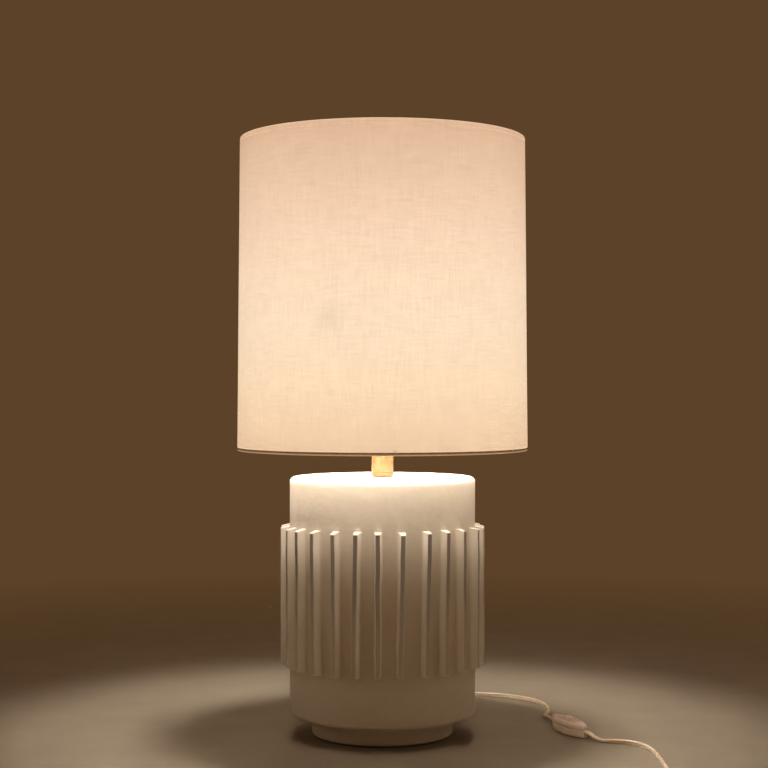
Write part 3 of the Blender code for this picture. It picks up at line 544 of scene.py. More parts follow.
def linen_look(name, stops, shaded_groove=None):
    """Off-white linen, lit from behind. stops gives the light that comes through, by height."""
    look = Look(name, (214, 200, 178), 0.85)
    x, y, z = look.axes()
    # Slubs: thick places in single threads, upright and level.
    threads = look.plus(look.noise((1600.0, 1600.0, 46.0)), look.noise((52.0, 52.0, 1600.0)))
    broad = look.plus(look.noise((820.0, 820.0, 44.0)), look.noise((50.0, 50.0, 820.0)))
    slubs = look.plus(look.times(threads, 0.55), look.times(broad, 0.45))
    # The weave itself.
    warp = look.maths("SINE", look.times(look.maths("ARCTAN2", y, x), THREADS_AROUND))
    weave = look.times(warp, look.maths("SINE", look.times(z, FULL_TURN / THREAD_PITCH)))
    light = look.spread(slubs, 0.72, 1.28, 0.865, 1.135)
    light = look.times(light, look.spread(weave, -1.0, 1.0, 0.97, 1.03))
    light = look.times(light, look.spread(look.noise(22.0, 3.0), 0.3, 0.7, 0.985, 1.015))
    for spot, size, share in SHADOW_AND_KNOT_SPOTS:
        away = look.vector_maths("DISTANCE", spot).outputs["Value"]
        light = look.times(light, look.spread(away, 0.2 * size, size, share, 1.0))
    span = GLOW_TOP - GLOW_BOTTOM
    shares = [((height - GLOW_BOTTOM) / span, shade) for height, shade in stops]
    glow = look.ramp(look.spread(z, GLOW_BOTTOM, GLOW_TOP), shares)
    cloth = look.ramp(slubs, [(0.30, (196, 180, 155)), (0.5, (214, 200, 178)), (0.72, (228, 216, 197))])
    # Painted shade: the cloth in the hem's groove is made dark brown, where the fold lies in shade.
    if shaded_groove:
        low, high = shaded_groove
        above = look.spread(z, low, low + 0.4 * MM)
        below = look.spread(z, high - 0.4 * MM, high, 1.0, 0.0)
        cloth = look.blend(look.times(above, below), cloth, (70, 46, 28))
    look.put(
        {
            "Base Color": cloth,
            "Emission Color": look.tinted(glow, light),
            "Emission Strength": GLOW_STRENGTH,
            "Roughness": look.spread(slubs, 0.72, 1.28, 0.92, 0.78),
            "Sheen Weight": 0.25,
            "Sheen Roughness": 0.5,
            "Normal": look.bump(look.plus(look.times(weave, 0.25), threads), 0.10 * MM),
        }
    )
    return look.material


# Painted shade on the fins' outer faces: a darker colour, darkest at the top, where the faces catch little
# of the shade's light.
PAINTED_FACE_SHADE = (
    (0.0, (0.66, 0.63, 0.58, 1.0)),
    (0.3, (0.60, 0.57, 0.52, 1.0)),
    (0.6, (0.44, 0.41, 0.37, 1.0)),
    (0.95, (0.28, 0.25, 0.22, 1.0)),
)
# Painted shade: how much darker the wall between the fins is made.
PAINTED_VALLEY_SHADE = (0.86, 0.81, 0.73, 1.0)


def ceramic_look():
    """Warm white matt glaze with a hand-smoothed surface, and painted light and shade: lighter fins, darker
    walls between them and darker outer faces.
    """
    look = Look("ceramic", (226, 218, 204), 0.5)
    fine = look.noise(160.0, 4.0)
    tone = look.plus(look.times(look.noise(9.0, 4.0), 0.6), look.times(fine, 0.4))
    glaze = look.ramp(tone, [(0.32, (224, 217, 204)), (0.5, (230, 223, 211)), (0.68, (235, 229, 218))])
    # Painted light: the fins are made lighter than the wall, for the shade's light that their sides catch.
    glaze = look.blend(look.attribute("fin"), glaze, (250, 246, 238))
    # Painted shade on the wall between the fins.
    glaze = look.blend(look.attribute("valley_shade"), glaze, look.tinted(glaze, PAINTED_VALLEY_SHADE))
    # Painted shade on the fins' outer faces, by height.
    face_shade = look.ramp(look.spread(look.axes()[2], FIN_BOTTOM_TIP, FIN_TOP_TIP), PAINTED_FACE_SHADE)
    relief = look.plus(look.times(look.noise((60.0, 60.0, 420.0), 3.0), 0.5), fine)
    look.put(
        {
            "Base Color": look.blend(look.attribute("outer_face"), glaze, look.tinted(glaze, face_shade)),
            "Roughness": look.spread(fine, 0.3, 0.7, 0.42, 0.62),
            "Coat Weight": 0.12,
            "Coat Roughness": 0.35,
            "Normal": look.bump(look.noise(38.0), 1.2 * MM, look.bump(relief, 0.22 * MM)),
        }
    )
    return look.material


def metal_look(name, base, dark, roughness, brush):
    """Brushed metal. brush is how fine the marks are along each axis, per metre."""
    look = Look(name, base, roughness, 1.0)
    marks = look.noise(brush, 3.0)
    tarnish = look.spread(look.noise(60.0, 3.0), 0.42, 0.68, 0.0, 0.6)
    look.put(
        {
            "Base Color": look.blend(tarnish, base, dark),
            "Roughness": look.spread(marks, 0.3, 0.7, roughness - 0.08, roughness + 0.12),
            "Anisotropic": 0.4,
            "Normal": look.bump(marks, 0.012 * MM),
        }
    )
    return look.material


def plain_look(name, base, variation, roughness, grain, relief_mm, coat=0.0, sheen=0.0):
    """A moulded, pressed or felted surface: a colour that varies, with a grain of its own."""
    look = Look(name, base, roughness)
    pattern = look.noise(grain, 4.0)
    tone = look.plus(look.times(pattern, 0.6), look.times(look.noise(25.0), 0.4))
    look.put(
        {
            "Base Color": look.blend(look.spread(tone, 0.38, 0.62), base, variation),
            "Roughness": look.spread(pattern, 0.3, 0.7, roughness - 0.07, roughness + 0.09),
            "Normal": look.bump(pattern, relief_mm * MM),
            "Coat Weight": coat,
            "Coat Roughness": 0.2,
            "Sheen Weight": sheen,
        }
    )
    return look.material


BULB_GLOW = (
    (0.0, (240, 170, 100)),
    (0.25, (255, 214, 150)),
    (0.6, (255, 236, 200)),
    (1.0, (255, 228, 184)),
)


def bulb_glass_look():
    """Frosted glass with the filament's light behind it."""
    look = Look("frosted_glass", (250, 244, 232), 0.35)
    frost = look.noise(300.0, 3.0)
    glow = look.ramp(look.spread(look.axes()[2], 0.376, 0.460), BULB_GLOW)
    look.put(
        {
            "Emission Color": look.tinted(glow, look.spread(frost, 0.3, 0.7, 0.94, 1.04)),
            "Emission Strength": 2.2,
            "Normal": look.bump(frost, 0.02 * MM),
        }
    )
    return look.material


def vinyl_cord_look():
    """Clear vinyl over two twisted copper strands, which show as slanting gold lines."""
    look = Look("clear_pvc_cord", (226, 204, 168), 0.3)
    uv = look.add("ShaderNodeTexCoord").outputs["UV"]
    across, along = look.add("ShaderNodeSeparateXYZ", {0: uv}).outputs[:2]
    run = look.times(along, FULL_TURN / (4.2 * MM))
    strands = look.maths("SINE", look.plus(run, look.times(across, 2 * FULL_TURN)))
    cloud = look.noise(140.0, 3.0)
    vinyl = look.blend(look.spread(cloud, 0.35, 0.65), (250, 236, 210), (240, 222, 190))
    look.put(
        {
            "Base Color": look.blend(look.spread(strands, -0.4, 1.0, 0.0, 0.34), vinyl, (214, 168, 112)),
            "Roughness": look.spread(cloud, 0.3, 0.7, 0.22, 0.36),
            "Subsurface Weight": 0.15,
            "Subsurface Scale": 0.002,
            "Coat Weight": 0.4,
            "Coat Roughness": 0.12,
            "Normal": look.bump(strands, 0.05 * MM),
        }
    )
    return look.material


# Colour, tarnish, roughness and the brush marks' fineness along each axis.
METALS = {
    "brass": ((148, 112, 82), (136, 100, 72), 0.48, (700.0, 700.0, 60.0)),
    "steel": ((188, 186, 182), (146, 143, 138), 0.34, (400.0, 400.0, 1500.0)),
    "aluminium": ((206, 206, 204), (170, 169, 166), 0.38, (350.0, 350.0, 2200.0)),
}
# Two colours, roughness, the grain's fineness and depth in mm, and any coat and sheen.
PLAINS = {
    "felt": ((52, 62, 48), (78, 88, 70), 0.92, 900.0, 0.5, 0.0, 0.5),
    "board": ((150, 118, 82), (122, 94, 62), 0.85, 260.0, 0.12),
    "phenolic": ((38, 34, 32), (56, 48, 42), 0.45, 420.0, 0.03),
    "card": ((198, 178, 140), (176, 152, 112), 0.88, 500.0, 0.06),
    "styrene": ((244, 240, 232), (236, 230, 220), 0.55, 90.0, 0.05),
    "clear_pvc": ((250, 236, 222), (240, 222, 206), 0.34, 220.0, 0.04, 0.35),
    "tie": ((228, 224, 214), (206, 200, 188), 0.7, 700.0, 0.10),
}
LOOKS = {"ceramic": ceramic_look(), "linen": linen_look("linen", GLOW), "frosted_glass": bulb_glass_look()}
LOOKS.update({name: metal_look(name, *facts) for name, facts in METALS.items()})
LOOKS.update({name: plain_look(name, *facts) for name, facts in PLAINS.items()})
VINYL = LOOKS["clear_pvc"]
CORD_LOOK = vinyl_cord_look()
BOTTOM_HEM_LOOK = linen_look("linen_bottom_hem", BOTTOM_HEM_GLOW, HEM_SHADED_GROOVE)
TOP_HEM_LOOK = linen_look("linen_top_hem", TOP_HEM_GLOW)


def dress_frame():
    """Gives every CAD node the finished material of its slot."""
    slots = {}
    for entry in frame["record"]["materials"]:
        for node in entry.get("nodes", []):
            slots[node] = entry["slot"]
    for name, node in NODES.items():
        for holder in node.material_slots:
            holder.material = LOOKS[slots.get(name) or holder.material.name.split(".")[0]]


# ---- Cord, with the switch, the tie and the plug on it ----
STRAND_RADIUS = 1.4 * MM        # each half of the twin cord
STRAND_OFFSET = 1.15 * MM
CORD_SIDES = 22
CORD_STEP = 3.4 * MM
EXIT_PLACE = (0.0, 0.1010, 0.0110)
SWITCH_PLACE = (0.1970, 0.0046)
SWITCH_HEADING = math.radians(-67.7)
SWITCH_HALF = 0.0390
SWITCH_FRAME = Matrix.Translation((*SWITCH_PLACE, 0.0)) @ Matrix.Rotation(SWITCH_HEADING, 4, "Z")
CASE_HALF = 0.0350              # the case is shorter than its two necks
CASE_SHIFT = 0.0020
COIL_PLACE = (0.2385, -0.2780)
COIL_TURNS = 6.25
POINTS_PER_TURN = 30
PLUG_BACK = 0.1900
PLUG_HEIGHT = 0.0068
TABLE_ROUTE_HEIGHT = 0.0028     # where a route of the CAD cord lies on the table
CORD_TO_SWITCH = (
    (0.0000, 0.0980, 0.0110),
    (0.0002, 0.1150, 0.0103),
    (0.0035, 0.1380, 0.0060),
    (0.0150, 0.1650, 0.0031),
    (0.0390, 0.1890, 0.0028),
    (0.0730, 0.2035, 0.0028),
    (0.1100, 0.2045, 0.0028),
    (0.1450, 0.1930, 0.0028),
    (0.1720, 0.1690, 0.0028),
    (0.1850, 0.1360, 0.0028),
    (0.1855, 0.1030, 0.0030),
    (0.1800, 0.0780, 0.0045),
    (0.1774, 0.0590, 0.0066),
    (0.1820, 0.0411, 0.0074),
)
INSIDE_SWITCH = ((-0.020, 0.0046), (0.0, 0.0040), (0.020, 0.0046))
CORD_TO_COIL = (
    (0.2120, -0.0318, 0.0074),
    (0.2182, -0.0430, 0.0058),
    (0.2285, -0.0500, 0.0036),
    (0.2400, -0.0535, 0.0028),
    (0.2520, -0.0590, 0.0028),
    (0.2625, -0.0710, 0.0028),
    (0.2690, -0.0920, 0.0028),
    (0.2712, -0.1250, 0.0028),
    (0.2708, -0.1650, 0.0029),
    (0.2700, -0.2050, 0.0045),
    (0.2700, -0.2350, 0.0062),
    (0.2699, -0.2600, 0.0048),
)
# The coil's turns in millimetres: the distance from its middle and the height of the cord there.
COIL_SLOTS = (
    (31.2, 3.6),
    (28.2, 3.6),
    (25.2, 3.6),
    (22.2, 3.6),
    (23.8, 8.9),
    (26.8, 8.9),
    (29.8, 8.9),
    (31.5, 9.0),
)


def metres(points):
    """The points of an outline that is given in millimetres."""
    return [(first * MM, second * MM) for first, second in points]


def table_height(twist):
    """Height of the cord's middle where it lies on the table, turned by twist."""
    return STRAND_RADIUS + STRAND_OFFSET * abs(math.sin(twist)) + 0.05 * MM


def coil_points():
    """The wound turns: down and round from the front, then out to the plug."""
    points = []
    for index in range(int(COIL_TURNS * POINTS_PER_TURN) + 1):
        turn = index / POINTS_PER_TURN
        slot = min(int(turn), len(COIL_SLOTS) - 2)
        share = smoothstep(0.55, 0.95, turn - slot)
        radius, height = (mix(*pair, share) * MM for pair in zip(COIL_SLOTS[slot], COIL_SLOTS[slot + 1]))
        x, y = around(radius, -FULL_TURN * turn)
        points.append((COIL_PLACE[0] + x, COIL_PLACE[1] + y, height))
    return points


def cord_middle():
    """The cord's middle from the lamp to the plug."""
    inside = [SWITCH_FRAME @ Vector((x, 0.0, z)) for x, z in INSIDE_SWITCH]
    coil = coil_points()
    x, y = coil[-1][:2]
    tail = [(x - 0.014, y, 0.0088), (x - 0.030, y - 0.0002, 0.0076)]
    tail += [(PLUG_BACK + 0.0010, y, PLUG_HEIGHT), (PLUG_BACK - 0.0040, y, PLUG_HEIGHT)]
    return smooth_route([*CORD_TO_SWITCH, *inside, *CORD_TO_COIL, *coil, *tail], CORD_STEP)


def cord_path():
    """The cord's middle as it lies, and how far it is turned at each point.

    A turn of 0 lays the cord flat, and a quarter turn stands it on its edge.
    """
    route = cord_middle()
    marks = distances(route)
    out_of_coil = marks[-1] - 0.045
    into_coil = next(mark for mark, at in zip(marks, route) if at.y < -0.205 and at.x > 0.26)
    switch = Vector(SWITCH_PLACE)
    switch_start = next(mark for mark, at in zip(marks, route) if (at.xy - switch).length < SWITCH_HALF)
    twists, places = [], []
    for mark, place in zip(marks, route):
        first = smoothstep(0.03, 0.15, mark)
        first *= 1.0 - smoothstep(switch_start - 0.06, switch_start - 0.012, mark)
        second = smoothstep(switch_start + 0.086, switch_start + 0.125, mark)
        wave = 0.07 * math.sin(mark * 31.0) + 0.04 * math.sin(mark * 57.0 + 1.0)
        upright = max(first * (0.93 + wave), second * (0.95 + wave))
        upright = mix(upright, 1.0, smoothstep(into_coil - 0.05, into_coil + 0.02, mark))
        upright *= 1.0 - smoothstep(out_of_coil - 0.01, marks[-1] - 0.010, mark)
        twist = min(upright, 1.0) * math.pi / 2
        height = place.z
        if mark < into_coil:
            lifted = min(max((place.z - TABLE_ROUTE_HEIGHT) / 0.0040, 0.0), 1.0)
            height = mix(table_height(twist), place.z, lifted)
        places.append(Vector((place.x, place.y, height)))
        twists.append(twist)
    return places, twists


def make_cord():
    """The whole twin cord as one tube, and the points of its middle."""
    path, twists = cord_path()
    frames = []
    for direction, twist in zip(tangents(path), twists):
        side = direction.cross(Vector((0, 0, 1))).normalized()
        wide = side * math.cos(twist) + side.cross(direction) * math.sin(twist)
        frames.append((wide, direction.cross(wide)))
    section = []
    for index in range(CORD_SIDES):
        angle = FULL_TURN * index / CORD_SIDES
        waist = math.sqrt(STRAND_RADIUS**2 - (STRAND_OFFSET * math.sin(angle)) ** 2)
        section.append(around(STRAND_OFFSET * abs(math.cos(angle)) + waist, angle))
    cord = sweep("cord", path, section, CORD_LOOK, frames)
    give_length_map(cord, distances(path))
    return cord, path


def give_length_map(cord, marks):
    """A map around the cord and along it, in metres, for the strands under the vinyl."""
    layer = cord.data.uv_layers.new(name="along")
    for polygon in cord.data.polygons:
        corners = [cord.data.loops[index].vertex_index for index in polygon.loop_indices]
        turns = [corner % CORD_SIDES for corner in corners]
        wraps = max(turns) - min(turns) > 1
        for index, corner, turn in zip(polygon.loop_indices, corners, turns):
            share = (CORD_SIDES if wraps and turn == 0 else turn) / CORD_SIDES
            layer.data[index].uv = (share, marks[corner // CORD_SIDES])


# The case's levels in millimetres: how far each is drawn in, and its height.
LOWER_CASE = (
    *((1.4, 0.35), (0.5, 0.6), (0.1, 1.3), (0.0, 2.4)),
    *((0.0, 6.6), (0.35, 7.4), (1.7, 7.4), (1.7, 2.2)),
)
UPPER_CASE = (
    *((1.7, 12.0), (1.7, 7.7), (0.35, 7.7), (0.0, 8.4), (0.0, 10.2)),
    *((0.3, 11.4), (1.0, 12.6), (2.2, 13.5), (3.6, 14.0), (5.2, 14.2)),
)
ROCKER_SIDE = (
    *((-9.8, 1.0), (-9.2, 1.6), (-4.0, 4.2), (0.0, 4.7), (4.0, 4.2)),
    *((9.2, 1.6), (9.8, 1.0), (8.8, -1.2), (0.0, -3.0), (-8.8, -1.2)),
)
ROCKER_TILT = Matrix.Translation((0, 0, 0.0118)) @ Matrix.Rotation(math.radians(7.0), 4, "Y")


def switch_ring(inset, height, count=72):
    """One level of the switch's case: straight sides drawn in to a nose at each end."""
    length, width, nose = CASE_HALF - inset, 0.0110 - inset, 0.0040 - 0.5 * inset
    points = []
    for index in range(count):
        along, across = around(1.0, FULL_TURN * (index + 0.5) / count)
        x = squared(length, 0.62, along)
        neck = min(max((abs(x) - 0.44 * length) / (0.50 * length), 0.0), 1.0)
        points.append((x + CASE_SHIFT, squared(mix(width, nose, neck), 0.40, across), height))
    return points


def switch_shell(name, levels):
    """One shell of the switch's case."""
    return stack(name, [switch_ring(*level) for level in metres(levels)], VINYL, SWITCH_FRAME)


def make_switch():
    """Case of two shells with a seam between, a raised frame around the rocker, and the rocker."""
    lower = switch_shell("switch_case_lower", LOWER_CASE)
    upper = switch_shell("switch_case_upper", UPPER_CASE)
    cut(upper, rounded_box("pocket", (21.6, 10.1, 12.0), (0, 0, 15.0), None, 0.4, SWITCH_FRAME))
    parts = [upper]
    for side in (-1, 1):
        boxes = [("rim", (25.2, 1.4, 3.0), (0, side * 5.8, 13.8), 0.5)]
        boxes.append(("rim", (1.4, 13.0, 3.0), (side * 11.9, 0, 13.8), 0.5))
        for number in range(4):
            place = (side * (20.5 + 3.2 * number), 0, 13.8 - 0.5 * number)
            boxes.append(("grip", (1.1, 10.0 - 1.4 * number, 1.8), place, 0.4))
        for name, size, place, bevel in boxes:
            parts.append(rounded_box(name, size, place, VINYL, bevel, SWITCH_FRAME))
    upper = joined("switch_case_upper", parts)

    tilt = SWITCH_FRAME @ ROCKER_TILT
    rings = []
    for across, share in ((-4.4, 0.93), (-4.0, 1.0), (4.0, 1.0), (4.4, 0.93)):
        rings.append([(x * share * MM, across * MM, z * share * MM) for x, z in ROCKER_SIDE])
    rocker = [stack("rocker_body", rings, VINYL, tilt)]
    for number in range(-2, 3):
        for side in (1, -1):
            place = (side * (6.6 + number), 0, 3.1 - 0.38 * number)
            rocker.append(rounded_box("ridge", (0.5, 6.8, 0.9), place, VINYL, 0.2, tilt))
    return lower, upper, joined("switch_rocker_fine", rocker)


def make_relief():
    """Ribbed strain relief in the back of the foot, tapering out along the cord."""
    start, flange, end = 57.8, 75.5, EXIT_PLACE[1] / MM - 0.2
    bore, ribs = 2.75, 6
    outline = [(bore, start), (4.8, start), (4.8, flange), (7.0, flange), (7.2, flange + 0.4)]
    outline += [(7.1, flange + 1.6), (6.0, flange + 2.4)]
    pitch = (end - flange - 3.0) / ribs
    for number in range(ribs):
        along = mix(flange + 3.0, end, number / ribs)
        radius = mix(5.6, 3.9, number / ribs)
        outline += [(radius - 0.9, along), (radius - 0.9, along + 0.35 * pitch)]
        outline += [(radius, along + 0.45 * pitch), (radius, along + 0.92 * pitch)]
    outline += [(3.6, end), (bore, end)]
    relief = turned("strain_relief", softened(metres(outline), 0.2 * MM), VINYL, 40)
    relief.data.transform(Matrix.Translation((0, 0, EXIT_PLACE[2])) @ Matrix.Rotation(-math.pi / 2, 4, "X"))
    return relief


def make_tie():
    """A flat strap around the coil's turns, with its loose end laid over."""
    middle = Vector((COIL_PLACE[0] - 0.0272, COIL_PLACE[1], 0.0063))
    half_wide, half_high, corner = 6.6, 5.8, 2.2
    route = []
    for across, up, start in ((1, 1, 0), (-1, 1, 90), (-1, -1, 180), (1, -1, 270)):
        centre = (across * (half_wide - corner), up * (half_high - corner))
        for x, z in metres(arc(centre, corner, start, start + 90, 6)):
            route.append(middle + Vector((x, 0.0, z)))
    section = metres(((-3.8, -0.25), (3.8, -0.25), (4.0, 0.0), (3.8, 0.25), (-3.8, 0.25), (-4.0, 0.0)))
    side = Vector((0, 1, 0))
    frames = []
    for index in range(len(route)):
        ahead = route[(index + 1) % len(route)] - route[index - 1]
        frames.append((side, ahead.normalized().cross(side)))
    strap = sweep("strap", route, section, LOOKS["tie"], frames, closed=True)
    knots = ((-5.0, 0.0, 6.45), (0.0, 0.0, 6.55), (6.0, 0.6, 6.7), (12.0, 1.6, 5.2))
    flap = smooth_route([middle + Vector(knot) * MM for knot in knots], 1.2 * MM)
    frames = [(side, direction.cross(side)) for direction in tangents(flap)]
    return joined("tie_strap", [strap, sweep("flap", flap, section, LOOKS["tie"], frames)])


# The plug's grip in millimetres: distance from its back, half its width and half its height.
PLUG_GRIP = (
    *((11.4, 7.4, 5.0), (14.0, 9.4, 5.7), (17.0, 11.1, 6.1), (20.0, 11.8, 6.25), (23.0, 11.3, 6.1)),
    *((26.0, 11.5, 6.2), (28.6, 11.9, 6.3), (29.6, 11.6, 6.1), (30.0, 11.0, 5.5)),
)


def make_plug(plug_y):
    """Moulded two-blade plug with finger grips and a ribbed neck."""
    at = Matrix.Translation((PLUG_BACK, plug_y, PLUG_HEIGHT)) @ Matrix.Rotation(math.pi, 4, "Z")
    sections = [(0.0, 3.4, 2.5), (0.6, 3.9, 2.9)]
    for number in range(4):
        along, wide, high = 1.0 + 2.4 * number, 4.0 + 0.75 * number, 3.0 + 0.55 * number
        sections += [(along, wide, high), (along + 1.0, wide + 0.5, high + 0.35)]
        sections += [(along + 1.4, wide + 0.5, high + 0.35), (along + 1.8, wide - 0.2, high - 0.25)]
    rings = []
    for along, wide, high in (*sections, *PLUG_GRIP):
        ring = [(squared(wide, 0.55, x), squared(high, 0.55, y)) for x, y in round_section(1.0, 40)]
        rings.append([(along * MM, *point) for point in metres(ring)])
    parts = [stack("plug_moulding", rings, VINYL, at)]
    for side in (-1, 1):
        for number in range(4):
            place = (18.5 + 2.0 * number, 0.0, side * 6.0)
            parts.append(rounded_box("grip", (0.8, 9.0, 0.9), place, VINYL, 0.3, at))
    return joined("plug_moulding", parts)


# ---- Ceramic body ----
VALLEY_COLUMNS = 3


def fin_settings():
    """Bearing from the front and sideways lean of the foot, for every fin."""
    rng = random.Random(FIN_SEED)
    half = len(FRONT_NUDGES_DEG) // 2
    settings = []
    for number in range(-half, FIN_COUNT - half):
        if number <= half:
            nudge = FRONT_NUDGES_DEG[number + half]
            lean = FRONT_LEANS_MM[number + half]
        else:
            nudge = rng.uniform(-BACK_NUDGE_DEG, BACK_NUDGE_DEG)
            lean = rng.uniform(-BACK_LEAN_MM, BACK_LEAN_MM)
        settings.append((FRONT_FIN_DEG + number * 360.0 / FIN_COUNT + nudge, lean * MM))
    return settings


def hand_set_fins():
    """(angle, lean of the foot, heights of the ends, skew, seed) for every fin."""
    rng = random.Random(FIN_SEED + 1)
    fins = []
    for bearing_deg, lean in fin_settings():
        top, bottom = rng.uniform(-0.5, 0.5) * MM, rng.uniform(-0.6, 0.6) * MM
        ends = (FIN_TOP_ROOT + top, FIN_TOP_TIP + top + rng.uniform(-0.5, 0.5) * MM)
        ends += (FIN_BOTTOM_ROOT + bottom, FIN_BOTTOM_TIP + bottom)
        skew = rng.uniform(-0.7, 0.7) * MM
        fins.append((math.radians(bearing_deg - 90.0), lean, ends, skew, rng.uniform(0.0, 50.0)))
    return fins


def fin_section():
    """Half a fin across, from the body up: (distance from its middle, height off the body, face).

    face is 1 on the flat outer face and 0 on the sides.
    """
    points = []
    for step in range(5):
        angle = math.pi / 2 * step / 4
        away = FIN_ROOT_HALF + FIN_FILLET * (1.0 - math.sin(angle))
        points.append((away, FIN_FILLET * (1.0 - math.cos(angle)), 0.0))
    for share in (0.35, 0.70):
        up = mix(FIN_FILLET, FIN_DEPTH - FIN_EDGE, share)
        points.append((mix(FIN_ROOT_HALF, FIN_TIP_HALF, share), up, 0.0))
    for step, face in enumerate((0.0, 0.0, 0.5, 1.0)):
        angle = math.pi / 2 * step / 3
        away = FIN_TIP_HALF - FIN_EDGE * (1.0 - math.cos(angle))
        points.append((away, FIN_DEPTH - FIN_EDGE * (1.0 - math.sin(angle)), face))
    points.append((FIN_TIP_HALF * 0.3, FIN_DEPTH, 1.0))
    return points


def soft_lower(first, second, softness):
    """The lower of two heights, rounded where they meet."""
    overlap = max(0.0, 1.0 - abs(first - second) / softness)
    return min(first, second) - softness / 4 * overlap * overlap


def end_height(distance, slope_length):
    """How high a fin may stand at a distance inside its end: a fillet, then a straight slope."""
    share = distance / slope_length
    if share <= 0.0:
        return 0.0
    rise = share * share / 0.6 if share < 0.3 else share - 0.15
    return FIN_DEPTH * rise / 0.85


def fin_height(standing, across, z, ends):
    """Height of the clay off the body at a place on or beside a fin."""
    top_root, top_tip, bottom_root, bottom_tip = ends
    top_start, bottom_start = top_root - 0.7 * MM, bottom_root - 0.8 * MM
    value = soft_lower(standing, end_height(top_start - z, top_start - top_tip), FIN_TOP_SOFTNESS)
    below = end_height(z - bottom_start, bottom_tip - bottom_start)
    value = max(soft_lower(value, below, FIN_FOOT_SOFTNESS), 0.0)
    # A smear of clay runs out beyond each end.
    reach = (across / (3.4 * MM)) ** 2
    beyond_top, beyond_bottom = z - top_root + 0.5 * MM, bottom_root + 0.5 * MM - z
    if beyond_top > 0.0:
        value += 0.55 * MM * math.exp(-reach - beyond_top / (2.8 * MM))
    if beyond_bottom > 0.0:
        value += 0.50 * MM * math.exp(-reach - beyond_bottom / (1.8 * MM))
    return value


def body_rows():
    """(radius, height) for each row of the body's closed skin, from the deck down and back inside."""
    rows = [(radius, BODY_TOP) for radius in (PIPE_HOLE, 0.012, 0.030, 0.050, 0.070, 0.084)]
    wall_top, wall_bottom = BODY_TOP - TOP_ROUNDING, FOOT_HEIGHT + UNDER_ROUNDING
    rows += arc((BODY_RADIUS - TOP_ROUNDING, wall_top), TOP_ROUNDING, 90, 0, 7)
    bands = ((wall_top - 0.003, 0.2270, 9), (0.2262, 0.2150, 23), (0.2110, 0.0820, 30), (0.0790, 0.0700, 19))
    for start, end, pieces in (*bands, (0.0660, wall_bottom + 0.003, 9)):
        rows += [(BODY_RADIUS, mix(start, end, index / (pieces - 1))) for index in range(pieces)]
    rows += arc((BODY_RADIUS - UNDER_ROUNDING, wall_bottom), UNDER_ROUNDING, 0, -90, 7)
    rows += [(FOOT_TOP_RADIUS + 3.0 * MM, FOOT_HEIGHT)]
    rows += arc((FOOT_TOP_RADIUS + 1.2 * MM, FOOT_HEIGHT - 1.2 * MM), 1.2 * MM, 90, 180, 4)
    rows += [(FOOT_TOP_RADIUS - 0.3 * MM, 0.0120), (FOOT_BASE_RADIUS, 0.0050)]
    rows += arc((FOOT_BASE_RADIUS - 1.2 * MM, CERAMIC_BOTTOM + 1.2 * MM), 1.2 * MM, 0, -90, 3)
    recess, shelf, inside = FOOT_RECESS_RADIUS, RECESS_CEILING + BODY_WALL, BODY_RADIUS - BODY_WALL
    rows += [(recess + 0.001, CERAMIC_BOTTOM), (recess, CERAMIC_BOTTOM + 0.001), (recess, RECESS_CEILING)]
    rows += [(PIPE_HOLE, RECESS_CEILING), (PIPE_HOLE, shelf), (SHELF_RADIUS, shelf)]
    rows += [(SHELF_RADIUS, FOOT_HEIGHT + BODY_WALL), (inside, FOOT_HEIGHT + BODY_WALL), (inside, 0.150)]
    rows += [(inside, BODY_TOP - BODY_DECK), (PIPE_HOLE, BODY_TOP - BODY_DECK)]
    return rows


def on_wall(radius):
    """Whether a row of the body is on its upright wall, where the fins stand."""
    return abs(radius - BODY_RADIUS) < 1e-6


def fin_points(fin, section, radius, z, valley_shade):
    """A fin's points at a height, and the angles of its two sides on the body.

    Each point is (radius, angle, height, outer face, painted shade between the fins, painted light on the
    fin).
    """
    bearing, lean, ends, skew, seed = fin
    drop = min(max((FIN_TOP_ROOT - z) / (FIN_TOP_ROOT - FIN_BOTTOM_ROOT), 0.0), 1.0)
    wander = bumpy(0.45 * MM, seed, z * 28.0, 0.0)
    thick = 1.0 + bumpy(0.10, seed, z * 45.0, 7.0)
    tall = bumpy(0.30 * MM, seed, z * 40.0, 13.0)
    inside = smoothstep(ends[3], ends[3] + 2.0 * MM, z) * smoothstep(-ends[1], 1.5 * MM - ends[1], -z)
    points, angles = [], []
    for across, height, face in reversed(section):
        lump = bumpy(0.16 * MM, seed + across * 300.0, z * 160.0, height * 200.0)
        offset = across * thick + lean * drop + wander + skew * height / FIN_DEPTH
        angle = bearing + math.asin(offset / BODY_RADIUS)
        angles.append(angle)
        rise = 0.0
        if on_wall(radius):
            standing = height + (tall + lump) * min(height / (4.0 * MM), 1.0)
            rise = fin_height(standing, across, z, ends)
        # side marks the fin where it stands off the body: painted light there, and no painted shade.
        side = smoothstep(0.3 * MM, 3.0 * MM, rise)
        out, face = radius, 0.0 if rise <= 0.0 else face * inside
        if rise > 0.0:
            forward = math.sqrt(BODY_RADIUS**2 - offset**2) + rise
            out, angle = math.hypot(forward, offset), bearing + math.atan2(offset, forward)
        points.append((out, angle, z, face, valley_shade * (1.0 - side), side))
    return points, angles[0], angles[-1]


def uneven(radius, angle, z):
    """The place of a point of the body, a little off true, as hand-smoothed clay is."""
    x, y = around(radius, angle)
    if radius > BODY_RADIUS - BODY_WALL + 1.0 * MM:
        bulge = bumpy(0.22 * MM, x * 30.0, y * 30.0, z * 24.0)
        bulge += bumpy(0.07 * MM, x * 150.0, y * 150.0, z * 150.0)
        x, y = x * (1.0 + bulge / radius), y * (1.0 + bulge / radius)
    if z > BODY_TOP - 1e-6 and radius > 0.02:
        z -= 0.10 * MM + bumpy(0.10 * MM, x * 40.0, y * 40.0, 3.0)
    return x, y, z


